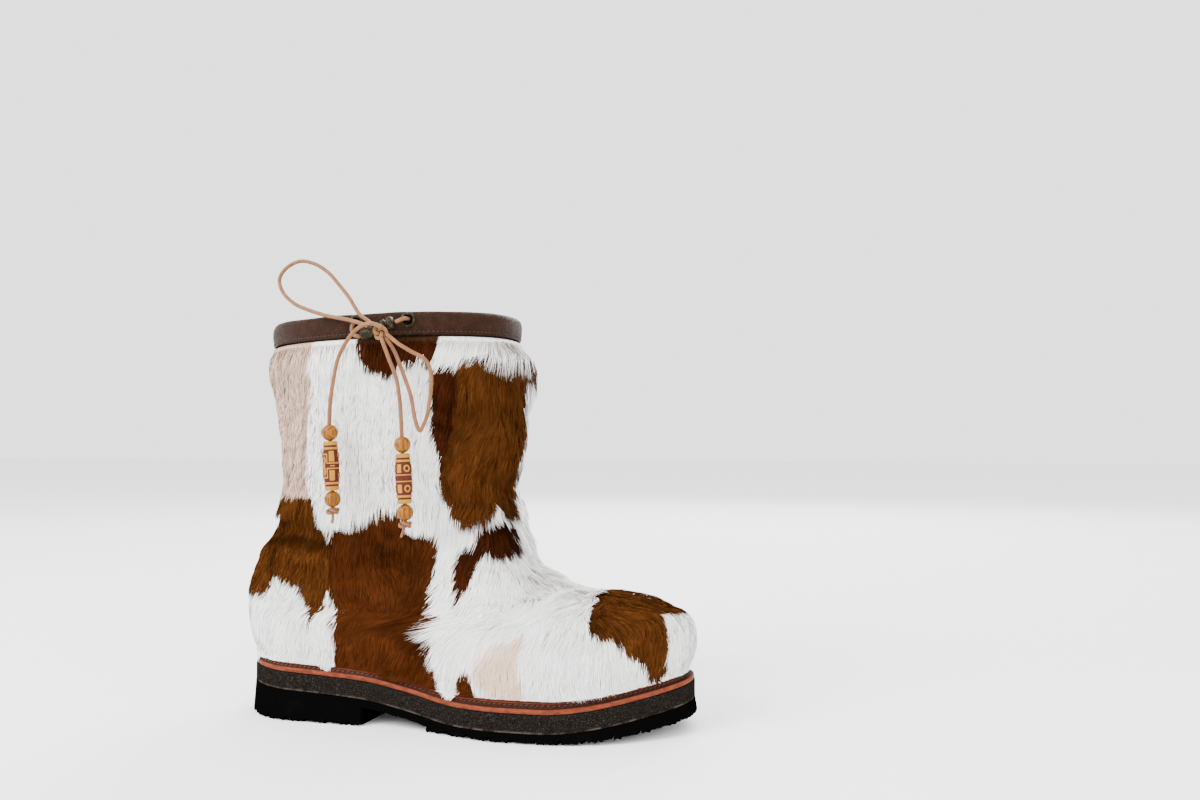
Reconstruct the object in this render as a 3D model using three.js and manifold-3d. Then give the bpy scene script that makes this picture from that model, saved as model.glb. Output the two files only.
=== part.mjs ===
// Mukluk boot for the right foot: a hollow fur upper on a welted lug sole, its collar band drawn and tied.
// Millimetres. +X runs to the toe, +Y to the inner side of the foot, +Z up. The heel's back edge is at x = 0
// while the pieces are made, and the finished group is moved so that its origin lies under the heel.
import * as THREE from "three";
import { mergeVertices } from "three/addons/utils/BufferGeometryUtils.js";
import Module from "manifold-3d";

const wasm = await Module();
wasm.setup();

// Sole
const SOLE_LENGTH = 292;
const BALL_WIDTH = 114;
const HEEL_HEIGHT = 20.8; // floor to the midsole at the heel
const BALL_HEIGHT = 5.8; // floor to the midsole at the ball
const TOE_HEIGHT = 17.6; // floor to the midsole at the toe
const TOE_SPRING = 8.6; // floor to the outsole's tip
const MIDSOLE_THICKNESS = 11;
const MIDSOLE_EDGE = 0.5; // rounding of the midsole's upper edge
const OUTSOLE_FLARE = 1.3;
const WAIST_RUBBER = 4.6;
const LUG_DEPTH = 2.8;
const LUG_GAP = 2.4;
const LUG_PITCH = 14.4;
const FIRST_LUG = 0.8; // heel's back edge to the first gap, in pitches
const LUG_REACH = 21; // how far a gap runs in from the edge
const MIDDLE_BAR = 26; // length of the short gaps between the two rows of lugs
const HEEL_CENTRE = LUG_PITCH * (FIRST_LUG + 2); // heel's back edge to the origin, between two middle gaps

// Welt and insole
const WELT_REACH = 8; // widest shelf outside the upper
const WELT_THICKNESS = 2.8;
const WELT_SETBACK = 0.6;
const LIP_HEIGHT = 3;
const LIP_WIDTH = 2.4;
const WELT_FLANGE = 3; // reach inwards past the upper's wall
const INSOLE_THICKNESS = 3.4;

// Upper
const BOOT_HEIGHT = 253.7; // floor to the collar's edge, at its middle
const ANKLE_HEIGHT = 139; // floor to the shaft's lower end
const COLLAR_RISE = 2.2; // the collar's edge above its middle at the front, and below it at the back
const COLLAR_LENGTH = 163.2;
const COLLAR_WIDTH = 115.2;
const COLLAR_BACK = 12.8; // heel's back edge to the collar
const DOME_RADIUS = 46; // rounding of the instep, seen from the front
const SWELL = 2.2; // how far the hide bulges over the welt
const WALL = 3;
const PILE_DEPTH = 4.2;
const HEM_STEP = 2.4; // the shaft's pile stands this far proud of the foot's
const TUFT_LENGTH = 17; // a lock of the long hair, fused on the pile
const TUFT_WIDTH = 12;
const TUFT_THICKNESS = 1.9;

// Collar band and eyelets
const BAND_HEIGHT = 14.4;
const BAND_LEATHER = 1.6;
const BAND_BULGE = 0.7;
const EYELET_RADIUS = 4.7;
const EYELET_BORE = 2.8;
const EYELET_BARREL = 3.5;
const EYELET_FLANGE = 1;
const EYELET_DROP = 5.3; // collar's edge to an eyelet's middle
const EYELET_SPACING = 31.6;
const EYELET_MIDDLE = 111.8; // heel's back edge to the middle between the eyelets

// Draw cord, its lock and the beads
const CORD_DIAMETER = 2.4;
const CORD_SIDES = 8;
const CORD_STEP = 7;
const ROUND_BEAD = 9.8;
const BARREL_LENGTH = 29.6;
const TURNED_SEGMENTS = 10;
const BARREL_DIAMETER = 10.6;
const LOCK_DIAMETER = 8.4;

const GAP = 0.3; // between pieces that touch
const AROUND = 42; // points round a ring, an even number
const CLEAR = 2; // lets a cutter run past a face

const mix = (a, b, t) => a + (b - a) * t;
const clamp01 = (v) => Math.min(Math.max(v, 0), 1);
const range = (count) => Array.from({ length: count }, (_, i) => i);

// Smooth curve through a table's rows that never overshoots them
function curve(rows, at, column) {
  const x = rows.map((row) => row[at]);
  const y = rows.map((row) => row[column]);
  const last = x.length - 1;
  const rise = range(last).map((i) => (y[i + 1] - y[i]) / (x[i + 1] - x[i]));
  const slope = x.map((_, i) => {
    const a = rise[Math.max(i - 1, 0)];
    const b = rise[Math.min(i, last - 1)];
    return a * b <= 0 ? 0 : (2 * a * b) / (a + b);
  });
  return (value) => {
    const v = Math.min(Math.max(value, x[0]), x[last]);
    let i = 0;
    while (i < last - 1 && v > x[i + 1]) i += 1;
    const step = x[i + 1] - x[i];
    const t = (v - x[i]) / step;
    const start = y[i] * (1 + 2 * t) * (1 - t) ** 2 + slope[i] * step * t * (1 - t) ** 2;
    return start + y[i + 1] * t * t * (3 - 2 * t) + slope[i + 1] * step * t * t * (t - 1);
  };
}

// Round end of an outline: 0 at its tip, 1 where the end begins
const roundEnd = (t, power) => (1 - (1 - clamp01(t)) ** power) ** (1 / power);
const HEEL_POWER = 2;
const TOE_POWER = 2.3;

// The smaller of two, with the corner between them rounded off
const BLEND = 4;
const softMin = (a, b) => (a ** -BLEND + b ** -BLEND) ** (-1 / BLEND);

// Sole outline. lateral and medial are shares of the ball width, swing moves the middle to the inner side,
// and shelf is the share of the welt's widest reach that shows there.
const PLAN = [
  { along: 0.0, lateral: 0.36, medial: 0.34, swing: 0, shelf: 0.5 },
  { along: 0.14, lateral: 0.365, medial: 0.345, swing: 0, shelf: 0.55 },
  { along: 0.41, lateral: 0.37, medial: 0.3, swing: 0, shelf: 0.68 },
  { along: 0.64, lateral: 0.5, medial: 0.44, swing: 0.014, shelf: 1 },
  { along: 0.7, lateral: 0.502, medial: 0.48, swing: 0.02, shelf: 1 },
  { along: 0.83, lateral: 0.485, medial: 0.472, swing: 0.037, shelf: 1 },
  { along: 1.0, lateral: 0.4, medial: 0.42, swing: 0.06, shelf: 1 },
];
const HEEL_ROUND = 0.15; // share of the length that the heel's curve takes
const TOE_ROUND = 0.3;
const planLateral = curve(PLAN, "along", "lateral");
const planMedial = curve(PLAN, "along", "medial");
const planSwing = curve(PLAN, "along", "swing");
const planShelf = curve(PLAN, "along", "shelf");
const planHalf = (along, lateral) => (lateral ? planLateral : planMedial)(along) * BALL_WIDTH;

// Underside of the midsole, each row as shares of the three heights
const ARCH = [
  { along: 0.0, heel: 1, ball: 0, toe: 0 },
  { along: 0.3, heel: 0.72, ball: 0.28, toe: 0 },
  { along: 0.55, heel: 0, ball: 1, toe: 0 },
  { along: 0.72, heel: 0, ball: 1, toe: 0 },
  { along: 1.0, heel: 0, ball: 0, toe: 1 },
].map((row) => ({
  along: row.along,
  height: row.heel * HEEL_HEIGHT + row.ball * BALL_HEIGHT + row.toe * TOE_HEIGHT,
}));
const archHeight = curve(ARCH, "along", "height");
const midsoleUnder = (x) => archHeight(x / SOLE_LENGTH);
const midsoleTop = (x) => midsoleUnder(x) + MIDSOLE_THICKNESS;
const weltUnder = (x) => midsoleTop(x) + GAP;
const feather = (x) => weltUnder(x) + WELT_THICKNESS + GAP;

// Underside of the tread, as shares of the toe spring
const TREAD = [
  { along: 0.0, rise: 0 },
  { along: 0.74, rise: 0 },
  { along: 0.88, rise: 0.34 },
  { along: 1.0, rise: 1 },
];
const treadRise = curve(TREAD, "along", "rise");
const treadUnder = (x) => treadRise(x / SOLE_LENGTH) * TOE_SPRING;
const HEEL_BREAST = 0.315; // share of the length where the heel block ends
const TREAD_START = 0.468; // share of the length where the forefoot tread begins
const TREAD_END = 0.93;

// A point of the sole's edge. turn runs from 0 at the heel, by the outer side, to a half at the toe.
function edgePoint(turn) {
  const angle = turn * 2 * Math.PI;
  const along = (1 - Math.cos(angle)) / 2;
  const lateral = Math.sin(angle) >= 0;
  const ends = roundEnd(along / HEEL_ROUND, HEEL_POWER) * roundEnd((1 - along) / TOE_ROUND, TOE_POWER);
  const half = planHalf(along, lateral) * ends;
  const y = planSwing(along) * BALL_WIDTH + (lateral ? -half : half);
  return new THREE.Vector3(along * SOLE_LENGTH, y, 0);
}

// The same point moved inwards, square to the edge
const TURN_STEP = 0.002;
function insetPoint(turn, inset) {
  const p = edgePoint(turn);
  const d = edgePoint(turn + TURN_STEP).sub(edgePoint(turn - TURN_STEP)).normalize();
  return new THREE.Vector3(p.x - d.y * inset, p.y + d.x * inset, 0);
}
const shelfAt = (turn) => planShelf(edgePoint(turn).x / SOLE_LENGTH) * WELT_REACH;

// Profile of the foot: back and front are shares of the sole's length, and backUp and frontUp shares of the
// height from the welt to the ankle. The front climbs the toe, runs back over the vamp and up the instep.
const FOOT = [
  { row: 0, back: 0.017, backUp: 0, front: 0.973, frontUp: 0 },
  { row: 1, back: 0.009, backUp: 0.07, front: 0.986, frontUp: 0.093 },
  { row: 2, back: 0.0024, backUp: 0.15, front: 0.991, frontUp: 0.185 },
  { row: 3, back: -0.0023, backUp: 0.225, front: 0.989, frontUp: 0.266 },
  { row: 4, back: -0.005, backUp: 0.288, front: 0.974, frontUp: 0.327 },
  { row: 5, back: -0.0054, backUp: 0.34, front: 0.942, frontUp: 0.375 },
  { row: 6, back: -0.0046, backUp: 0.38, front: 0.897, frontUp: 0.443 },
  { row: 7, back: -0.0027, backUp: 0.425, front: 0.803, frontUp: 0.488 },
  { row: 8, back: 0.0025, backUp: 0.485, front: 0.727, frontUp: 0.512 },
  { row: 9, back: 0.013, backUp: 0.57, front: 0.674, frontUp: 0.582 },
  { row: 10, back: 0.0325, backUp: 0.67, front: 0.635, frontUp: 0.67 },
  { row: 11, back: 0.057, backUp: 0.782, front: 0.617, frontUp: 0.776 },
  { row: 12, back: 0.074, backUp: 0.893, front: 0.597, frontUp: 0.867 },
  { row: 13, back: 0.081, backUp: 1, front: 0.586, frontUp: 0.958 },
];

// Profile of the shaft: back and front are shares of the collar's length, from its back, and backUp and
// frontUp shares of the height from the ankle to the band.
const SHAFT = [
  { row: 14, back: 0.064, backUp: 0.12, front: 0.963, frontUp: 0.08 },
  { row: 15, back: 0.058, backUp: 0.265, front: 0.988, frontUp: 0.215 },
  { row: 16, back: 0.044, backUp: 0.44, front: 1.003, frontUp: 0.4 },
  { row: 17, back: 0.023, backUp: 0.635, front: 1, frontUp: 0.605 },
  { row: 18, back: 0.001, backUp: 0.83, front: 1.009, frontUp: 0.8 },
  { row: 19, back: 0, backUp: 1, front: 1, frontUp: 1 },
];
const BAND_ROW = 19;
const TOP_ROW = 20;

// Form of each section. follow bends it along the sole, foot is the share of the foot's width in it and wide
// that of the collar's, swell is a share of the bulge, heel and toe are the lengths of its round ends as
// shares of the section, and dome is the share of the dome's radius that rounds it under the vamp. sag is how
// far its middle hangs below the line between its ends, as a share of the height of the ankle.
const FORM = [
  { row: 0, follow: 1, foot: 1, wide: 0.82, swell: 0, heel: 0.15, toe: 0.3, dome: 0, sag: 0 },
  { row: 1, follow: 0.92, foot: 1, wide: 0.82, swell: 0.7, heel: 0.15, toe: 0.3, dome: 0.12, sag: 0 },
  { row: 2, follow: 0.78, foot: 0.98, wide: 0.82, swell: 1, heel: 0.15, toe: 0.3, dome: 0.3, sag: 0 },
  { row: 3, follow: 0.6, foot: 0.94, wide: 0.82, swell: 1, heel: 0.15, toe: 0.29, dome: 0.48, sag: 0 },
  { row: 5, follow: 0.3, foot: 0.84, wide: 0.82, swell: 0.8, heel: 0.16, toe: 0.2, dome: 0.72, sag: 0.02 },
  { row: 7, follow: 0.1, foot: 0.7, wide: 0.82, swell: 0.4, heel: 0.19, toe: 0.12, dome: 0.88, sag: 0.048 },
  { row: 9, follow: 0, foot: 0.54, wide: 0.82, swell: 0, heel: 0.24, toe: 0.16, dome: 1, sag: 0.058 },
  { row: 10, follow: 0, foot: 0.44, wide: 0.83, swell: 0, heel: 0.28, toe: 0.24, dome: 1, sag: 0.045 },
  { row: 11, follow: 0, foot: 0.33, wide: 0.84, swell: 0, heel: 0.33, toe: 0.33, dome: 0.9, sag: 0.03 },
  { row: 12, follow: 0, foot: 0.22, wide: 0.86, swell: 0, heel: 0.39, toe: 0.42, dome: 0.65, sag: 0.014 },
  { row: 13, follow: 0, foot: 0.13, wide: 0.88, swell: 0, heel: 0.44, toe: 0.48, dome: 0.3, sag: 0 },
  { row: 14, follow: 0, foot: 0.06, wide: 0.905, swell: 0, heel: 0.48, toe: 0.5, dome: 0, sag: 0 },
  { row: 16, follow: 0, foot: 0, wide: 0.955, swell: 0, heel: 0.5, toe: 0.5, dome: 0, sag: 0 },
  { row: 18, follow: 0, foot: 0, wide: 0.995, swell: 0, heel: 0.5, toe: 0.5, dome: 0, sag: 0 },
  { row: BAND_ROW, follow: 0, foot: 0, wide: 1, swell: 0, heel: 0.5, toe: 0.5, dome: 0, sag: 0 },
  { row: TOP_ROW, follow: 0, foot: 0, wide: 1, swell: 0, heel: 0.5, toe: 0.5, dome: 0, sag: 0 },
];
const FORM_KEYS = ["follow", "foot", "wide", "swell", "heel", "toe", "dome", "sag"];
const form = Object.fromEntries(FORM_KEYS.map((key) => [key, curve(FORM, "row", key)]));

function collarEdge(x) {
  const half = COLLAR_LENGTH / 2;
  return BOOT_HEIGHT + (COLLAR_RISE * (x - COLLAR_BACK - half)) / half;
}

// Both profiles in millimetres, with the straight stretch under the band added
function profileRows() {
  const foot = FOOT.map((r) => {
    const backX = r.back * SOLE_LENGTH;
    const frontX = r.front * SOLE_LENGTH;
    const backZ = mix(feather(backX), ANKLE_HEIGHT, r.backUp);
    const frontZ = mix(feather(frontX), ANKLE_HEIGHT, r.frontUp);
    return { row: r.row, backX, backZ, frontX, frontZ };
  });
  const shaft = SHAFT.map((r) => {
    const backX = COLLAR_BACK + r.back * COLLAR_LENGTH;
    const frontX = COLLAR_BACK + r.front * COLLAR_LENGTH;
    const backZ = mix(ANKLE_HEIGHT, collarEdge(backX) - BAND_HEIGHT - GAP, r.backUp);
    const frontZ = mix(ANKLE_HEIGHT, collarEdge(frontX) - BAND_HEIGHT - GAP, r.frontUp);
    return { row: r.row, backX, backZ, frontX, frontZ };
  });
  const under = shaft.at(-1);
  const rest = BAND_HEIGHT - BAND_LEATHER;
  const top = { ...under, row: TOP_ROW, backZ: under.backZ + rest, frontZ: under.frontZ + rest };
  return [...foot, ...shaft, top];
}
const PROFILE = profileRows();
const backX = curve(PROFILE, "row", "backX");
const backZ = curve(PROFILE, "row", "backZ");
const frontX = curve(PROFILE, "row", "frontX");
const frontZ = curve(PROFILE, "row", "frontZ");

// Line of the toe box, vamp and instep as seen from the side
const RIDGE_FIRST = 3;
const RIDGE_LAST = 14;
const RIDGE_STEPS = 44;
const RIDGE = range(RIDGE_STEPS + 1).map((i) => {
  const row = mix(RIDGE_FIRST, RIDGE_LAST, i / RIDGE_STEPS);
  return new THREE.Vector3(frontX(row), 0, frontZ(row));
});
const ridgeSpan = new THREE.Line3();
const nearest = new THREE.Vector3();
function ridgeDistance(x, z) {
  const p = new THREE.Vector3(x, 0, z);
  let least = Infinity;
  for (let i = 0; i < RIDGE_STEPS; i += 1) {
    ridgeSpan.set(RIDGE[i], RIDGE[i + 1]);
    ridgeSpan.closestPointToPoint(p, true, nearest);
    least = Math.min(least, nearest.distanceTo(p));
  }
  return least;
}

// A point of the hide's outer face, on a section of the table and a turn round it
const SEAT_ROWS = 1.5; // over these rows the sole's edge passes into the sections
function hidePoint(turn, row) {
  const angle = turn * 2 * Math.PI;
  const share = (1 - Math.cos(angle)) / 2;
  const lateral = Math.sin(angle) >= 0;
  const x = mix(backX(row), frontX(row), share);
  const chord = mix(feather(backX(row)), feather(frontX(row)), share);
  const sag = form.sag(row) * ANKLE_HEIGHT * 4 * share * (1 - share);
  const z = mix(backZ(row), frontZ(row), share) + form.follow(row) * (feather(x) - chord) - sag;
  const along = clamp01(x / SOLE_LENGTH);
  const footHalf = planHalf(along, lateral) - planShelf(along) * WELT_REACH + form.swell(row) * SWELL;
  const shaftHalf = (COLLAR_WIDTH / 2) * form.wide(row);
  const back = roundEnd(share / form.heel(row), HEEL_POWER);
  const dome = ridgeDistance(x, z) / (DOME_RADIUS * form.dome(row) + GAP);
  const front = roundEnd(softMin((1 - share) / form.toe(row), dome), TOE_POWER);
  const half = mix(shaftHalf, footHalf, form.foot(row)) * back * front;
  const middle = planSwing(along) * BALL_WIDTH * form.foot(row);
  const point = new THREE.Vector3(x, middle + (lateral ? -half : half), z);
  const seated = 1 - clamp01(row / SEAT_ROWS);
  if (seated === 0) return point;
  const edge = insetPoint(turn, shelfAt(turn));
  edge.z = feather(edge.x) + point.z - (mix(backZ(0), frontZ(0), share) + feather(x) - chord);
  return point.lerp(edge, seated * seated * (3 - 2 * seated));
}

// Outward direction of the hide there
const ROW_STEP = 0.05;
function hideNormal(turn, row) {
  const above = Math.min(row + ROW_STEP, TOP_ROW);
  const below = Math.max(row - ROW_STEP, 0);
  const along = hidePoint(turn + TURN_STEP, row).sub(hidePoint(turn - TURN_STEP, row));
  const up = hidePoint(turn, above).sub(hidePoint(turn, below));
  return along.cross(up).normalize();
}
function offsetPoint(turn, row, offset) {
  return hidePoint(turn, row).addScaledVector(hideNormal(turn, row), offset);
}

// Rings of the upper's outer face: pile and step are shares of the pile's depth and of the hem's step
const FEATHER_LINE = 0.42; // row above which the pile begins
const HEM_ROW = 12.8;
const PILE_TOP = 18.94;
const ROW_EDGE = 0.03; // rows between the two sides of a step
const OUTER = [
  { row: 0, pile: 0, step: 0 },
  { row: FEATHER_LINE, pile: 0, step: 0 },
  { row: FEATHER_LINE + ROW_EDGE, pile: 0.9, step: 0 },
  { row: 1.1, pile: 1, step: 0 },
  ...[1.9, 2.7, 3.5, 4.3, 5.1, 6, 6.9, 7.8, 8.7, 9.6, 10.6, 11.7].map((row) => ({ row, pile: 1, step: 0 })),
  { row: HEM_ROW - ROW_EDGE, pile: 0.9, step: 0 },
  { row: HEM_ROW + ROW_EDGE, pile: 1, step: 1 },
  { row: 13.8, pile: 1, step: 0.7 },
  { row: 15, pile: 1, step: 0.35 },
  { row: 16.3, pile: 1, step: 0.1 },
  { row: 17.6, pile: 1, step: 0 },
  { row: PILE_TOP - ROW_EDGE, pile: 1, step: 0.2 },
  { row: PILE_TOP + ROW_EDGE, pile: 0, step: 0 },
  { row: TOP_ROW, pile: 0, step: 0 },
];
const INNER = [20, 18.4, 16.4, 14.7, 13.3, 12, 10.8, 9.7, 8.6, 7.5, 6.4, 5.4, 4.4, 3.4, 2.3, 1.1, 0];

// Closed body from rings of points, each ring joined to the next and the last to the first. The faces are split
// one way on the lateral half of a ring and the other way on its medial half.
function loopBody(rings) {
  const around = rings[0].length;
  const positions = rings.flat().flatMap((p) => [p.x, p.y, p.z]);
  const index = [];
  rings.forEach((_, r) => {
    const next = ((r + 1) % rings.length) * around;
    for (let i = 0; i < around; i += 1) {
      const j = (i + 1) % around;
      const [a, b, c, d] = [r * around + i, r * around + j, next + j, next + i];
      if (i < around / 2) index.push(a, b, c, a, c, d);
      else index.push(a, b, d, b, c, d);
    }
  });
  return indexed(positions, index);
}

// Closed slab from rings of points, the first and last ring closed by strips across
function slabBody(rings) {
  const around = rings[0].length;
  const positions = rings.flat().flatMap((p) => [p.x, p.y, p.z]);
  const index = [];
  for (let r = 0; r < rings.length - 1; r += 1) {
    for (let i = 0; i < around; i += 1) {
      const j = (i + 1) % around;
      const [a, b, c, d] = [r * around + i, r * around + j, (r + 1) * around + j, (r + 1) * around + i];
      index.push(a, b, c, a, c, d);
    }
  }
  const top = (rings.length - 1) * around;
  for (let i = 0; i < around / 2; i += 1) {
    const [a, b, c, d] = [i, (i + 1) % around, (around - i - 1) % around, (around - i) % around];
    if (i > 0) index.push(a, d, c);
    if (i < around / 2 - 1) index.push(a, c, b);
    if (i > 0) index.push(top + a, top + c, top + d);
    if (i < around / 2 - 1) index.push(top + a, top + b, top + c);
  }
  return indexed(positions, index);
}

function indexed(positions, index) {
  const geometry = new THREE.BufferGeometry();
  geometry.setAttribute("position", new THREE.Float32BufferAttribute(positions, 3));
  geometry.setIndex(index);
  return geometry;
}

// Geometry with only merged positions
const MERGE = 1e-3;
function bare(geometry) {
  const copy = geometry.index ? geometry.clone() : geometry;
  copy.deleteAttribute("normal");
  copy.deleteAttribute("uv");
  return mergeVertices(copy, MERGE);
}
function solid(geometry) {
  const merged = bare(geometry);
  const vertProperties = Float32Array.from(merged.attributes.position.array);
  const triVerts = Uint32Array.from(merged.index.array);
  return new wasm.Manifold(new wasm.Mesh({ numProp: 3, vertProperties, triVerts }));
}
function geometryOf(manifold) {
  const mesh = manifold.getMesh();
  return indexed(Array.from(mesh.vertProperties), Array.from(mesh.triVerts));
}
const joined = (manifolds) => manifolds.reduce((sum, next) => sum.add(next));

// Ring of points from a rule that gives a point for each turn
const ring = (rule) => range(AROUND).map((i) => rule(i / AROUND));
const raise = (point, z) => new THREE.Vector3(point.x, point.y, z);

// Black rubber unit: heel block, thin waist and forefoot tread, with gaps cut between its lugs
function outsole() {
  const body = solid(
    slabBody([
      ring((turn) => {
        const p = insetPoint(turn, -OUTSOLE_FLARE);
        return raise(p, treadUnder(p.x));
      }),
      ring((turn) => {
        const p = insetPoint(turn, 0);
        return raise(p, midsoleUnder(p.x) - GAP);
      }),
    ]),
  );
  const cutters = [waistCutter(), ...lugCutters()];
  return geometryOf(body.subtract(joined(cutters)));
}

// The recess under the waist, from the heel's breast to the start of the tread
function waistCutter() {
  const steps = 8;
  const from = HEEL_BREAST * SOLE_LENGTH;
  const to = TREAD_START * SOLE_LENGTH;
  const shape = new THREE.Shape();
  shape.moveTo(from, -CLEAR);
  shape.lineTo(to, -CLEAR);
  for (let i = 0; i <= steps; i += 1) {
    const x = mix(to, from, i / steps);
    shape.lineTo(x, Math.max(midsoleUnder(x) - WAIST_RUBBER, LUG_DEPTH * 0.5));
  }
  shape.closePath();
  const width = BALL_WIDTH * 2;
  const cutter = new THREE.ExtrudeGeometry(shape, { depth: width, bevelEnabled: false });
  cutter.rotateX(Math.PI / 2);
  cutter.translate(0, width / 2, 0);
  return solid(cutter);
}

// Gaps between the lugs along both edges, and shorter ones between them down the middle
function lugCutters() {
  const cutters = [];
  const stretches = [
    { from: LUG_PITCH * FIRST_LUG, to: HEEL_BREAST * SOLE_LENGTH - LUG_PITCH / 2 },
    { from: TREAD_START * SOLE_LENGTH + LUG_PITCH, to: TREAD_END * SOLE_LENGTH },
  ];
  for (const { from, to } of stretches) {
    for (let x = from; x <= to; x += LUG_PITCH) {
      for (const lateral of [true, false]) cutters.push(edgeGap(x, lateral));
      if (x + LUG_PITCH <= to) cutters.push(middleGap(x + LUG_PITCH / 2));
    }
  }
  return cutters;
}
function edgeGap(x, lateral) {
  const along = x / SOLE_LENGTH;
  const ends = roundEnd(along / HEEL_ROUND, HEEL_POWER) * roundEnd((1 - along) / TOE_ROUND, TOE_POWER);
  const half = planHalf(along, lateral) * ends;
  const reach = Math.min(LUG_REACH, half * 0.55);
  const width = reach + OUTSOLE_FLARE + CLEAR + LUG_PITCH;
  const middle = (half - reach + width / 2) * (lateral ? -1 : 1);
  return gapBox(x, planSwing(along) * BALL_WIDTH + middle, width);
}
function middleGap(x) {
  return gapBox(x, planSwing(x / SOLE_LENGTH) * BALL_WIDTH, MIDDLE_BAR);
}
function gapBox(x, y, width) {
  const height = LUG_DEPTH + CLEAR;
  const box = new THREE.BoxGeometry(LUG_GAP, width, height);
  box.translate(x, y, treadUnder(x) + LUG_DEPTH - height / 2);
  return solid(box);
}

// Sheet between the rubber and the welt
function midsole() {
  return slabBody([
    ring((turn) => {
      const p = insetPoint(turn, 0);
      return raise(p, midsoleUnder(p.x));
    }),
    ring((turn) => {
      const p = insetPoint(turn, 0);
      return raise(p, midsoleTop(p.x) - MIDSOLE_EDGE);
    }),
    ring((turn) => {
      const p = insetPoint(turn, MIDSOLE_EDGE);
      return raise(p, midsoleTop(p.x));
    }),
  ]);
}

// Welt: a flat strip with a raised lip against the upper and a flange below its wall
function welt() {
  const lipTop = WELT_THICKNESS + LIP_HEIGHT;
  const corners = [
    { inset: () => WELT_SETBACK, up: 0 },
    { inset: () => WELT_SETBACK, up: WELT_THICKNESS },
    { inset: (shelf) => Math.max(shelf - GAP - LIP_WIDTH, WELT_SETBACK + GAP), up: WELT_THICKNESS },
    { inset: (shelf) => Math.max(shelf - GAP - LIP_WIDTH * 0.6, WELT_SETBACK + 2 * GAP), up: lipTop },
    { inset: (shelf) => shelf - GAP, up: lipTop },
    { inset: (shelf) => shelf - GAP, up: WELT_THICKNESS },
    { inset: (shelf) => shelf + WALL + WELT_FLANGE, up: WELT_THICKNESS },
    { inset: (shelf) => shelf + WALL + WELT_FLANGE, up: 0 },
  ];
  return loopBody(
    corners.map(({ inset, up }) =>
      ring((turn) => {
        const p = insetPoint(turn, inset(shelfAt(turn)));
        return raise(p, weltUnder(p.x) + up);
      }),
    ),
  );
}

// Board inside the welt, lying on the midsole
function insole() {
  const inset = (turn) => shelfAt(turn) + WALL + WELT_FLANGE + GAP;
  return slabBody([
    ring((turn) => {
      const p = insetPoint(turn, inset(turn));
      return raise(p, weltUnder(p.x));
    }),
    ring((turn) => {
      const p = insetPoint(turn, inset(turn));
      return raise(p, weltUnder(p.x) + INSOLE_THICKNESS);
    }),
  ]);
}

// Rows of tufts fused on the pile. row is the section that they hang from, count how many go round from turn
// to turn, long and broad are shares of a tuft's size, lean is the angle off the hide and out the root's
// place in the pile.
const TUFTS = [
  { row: 18.75, count: 20, from: 0, to: 1, long: 0.9, broad: 1.6, lean: 9, out: 1 },
  { row: 12.95, count: 24, from: 0, to: 1, long: 0.95, broad: 1.5, lean: 6, out: 1.3 },
  { row: 6.4, count: 5, from: -0.09, to: 0.09, long: 0.9, broad: 1.5, lean: 10, out: 1 },
  { row: 2.3, count: 18, from: 0, to: 1, long: 0.8, broad: 1.6, lean: 7, out: 1 },
];
const TUFT_SIDES = 3; // one ridge outside and a flat back
const TUFT_VARIETY = 0.2;
const GOLDEN = 2.399963; // angle that spreads the tufts' lengths evenly
function tufts() {
  const bodies = [];
  for (const { row, count, from, to, long, broad, lean, out } of TUFTS) {
    const spaces = to - from === 1 ? count : count - 1;
    for (let i = 0; i < count; i += 1) {
      const turn = (mix(from, to, i / spaces) + 1) % 1;
      const length = TUFT_LENGTH * long * (1 + TUFT_VARIETY * Math.sin(i * GOLDEN));
      bodies.push(tuft(turn, row, length, TUFT_WIDTH * broad, lean, out));
    }
  }
  return bodies;
}

// Flat pointed body that hangs from its root, broad across the hide and thin off it
function tuft(turn, row, length, width, lean, out) {
  const normal = hideNormal(turn, row);
  const down = hidePoint(turn, row - ROW_STEP * 2).sub(hidePoint(turn, row)).normalize();
  const angle = THREE.MathUtils.degToRad(lean);
  const axis = down.multiplyScalar(Math.cos(angle)).addScaledVector(normal, Math.sin(angle)).normalize();
  const side = new THREE.Vector3().crossVectors(axis, normal).normalize();
  const thick = new THREE.Vector3().crossVectors(side, axis).normalize();
  const cone = new THREE.ConeGeometry(1, length, TUFT_SIDES);
  cone.translate(0, length / 2, 0);
  cone.scale(width / 2, 1, TUFT_THICKNESS);
  const root = offsetPoint(turn, row, PILE_DEPTH * out);
  cone.applyMatrix4(new THREE.Matrix4().makeBasis(side, axis, thick).setPosition(root));
  return solid(cone);
}

// Hollow hide, pile and lining in one wall, open at the collar and underneath
function upper() {
  const outer = OUTER.map(({ row, pile, step }) => {
    const offset = pile * PILE_DEPTH + step * HEM_STEP;
    return ring((turn) => offsetPoint(turn, row, offset));
  });
  const inner = INNER.map((row) => ring((turn) => offsetPoint(turn, row, -WALL)));
  return geometryOf(joined([solid(loopBody([...outer, ...inner])), ...tufts()]));
}

// A point of the collar, moved out from the hide and down from the collar's edge
function collarPoint(turn, offset, drop) {
  const p = hidePoint(turn, TOP_ROW);
  const before = hidePoint(turn - TURN_STEP, TOP_ROW);
  const d = hidePoint(turn + TURN_STEP, TOP_ROW).sub(before).setZ(0).normalize();
  return new THREE.Vector3(p.x + d.y * offset, p.y - d.x * offset, collarEdge(p.x) - drop);
}

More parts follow.
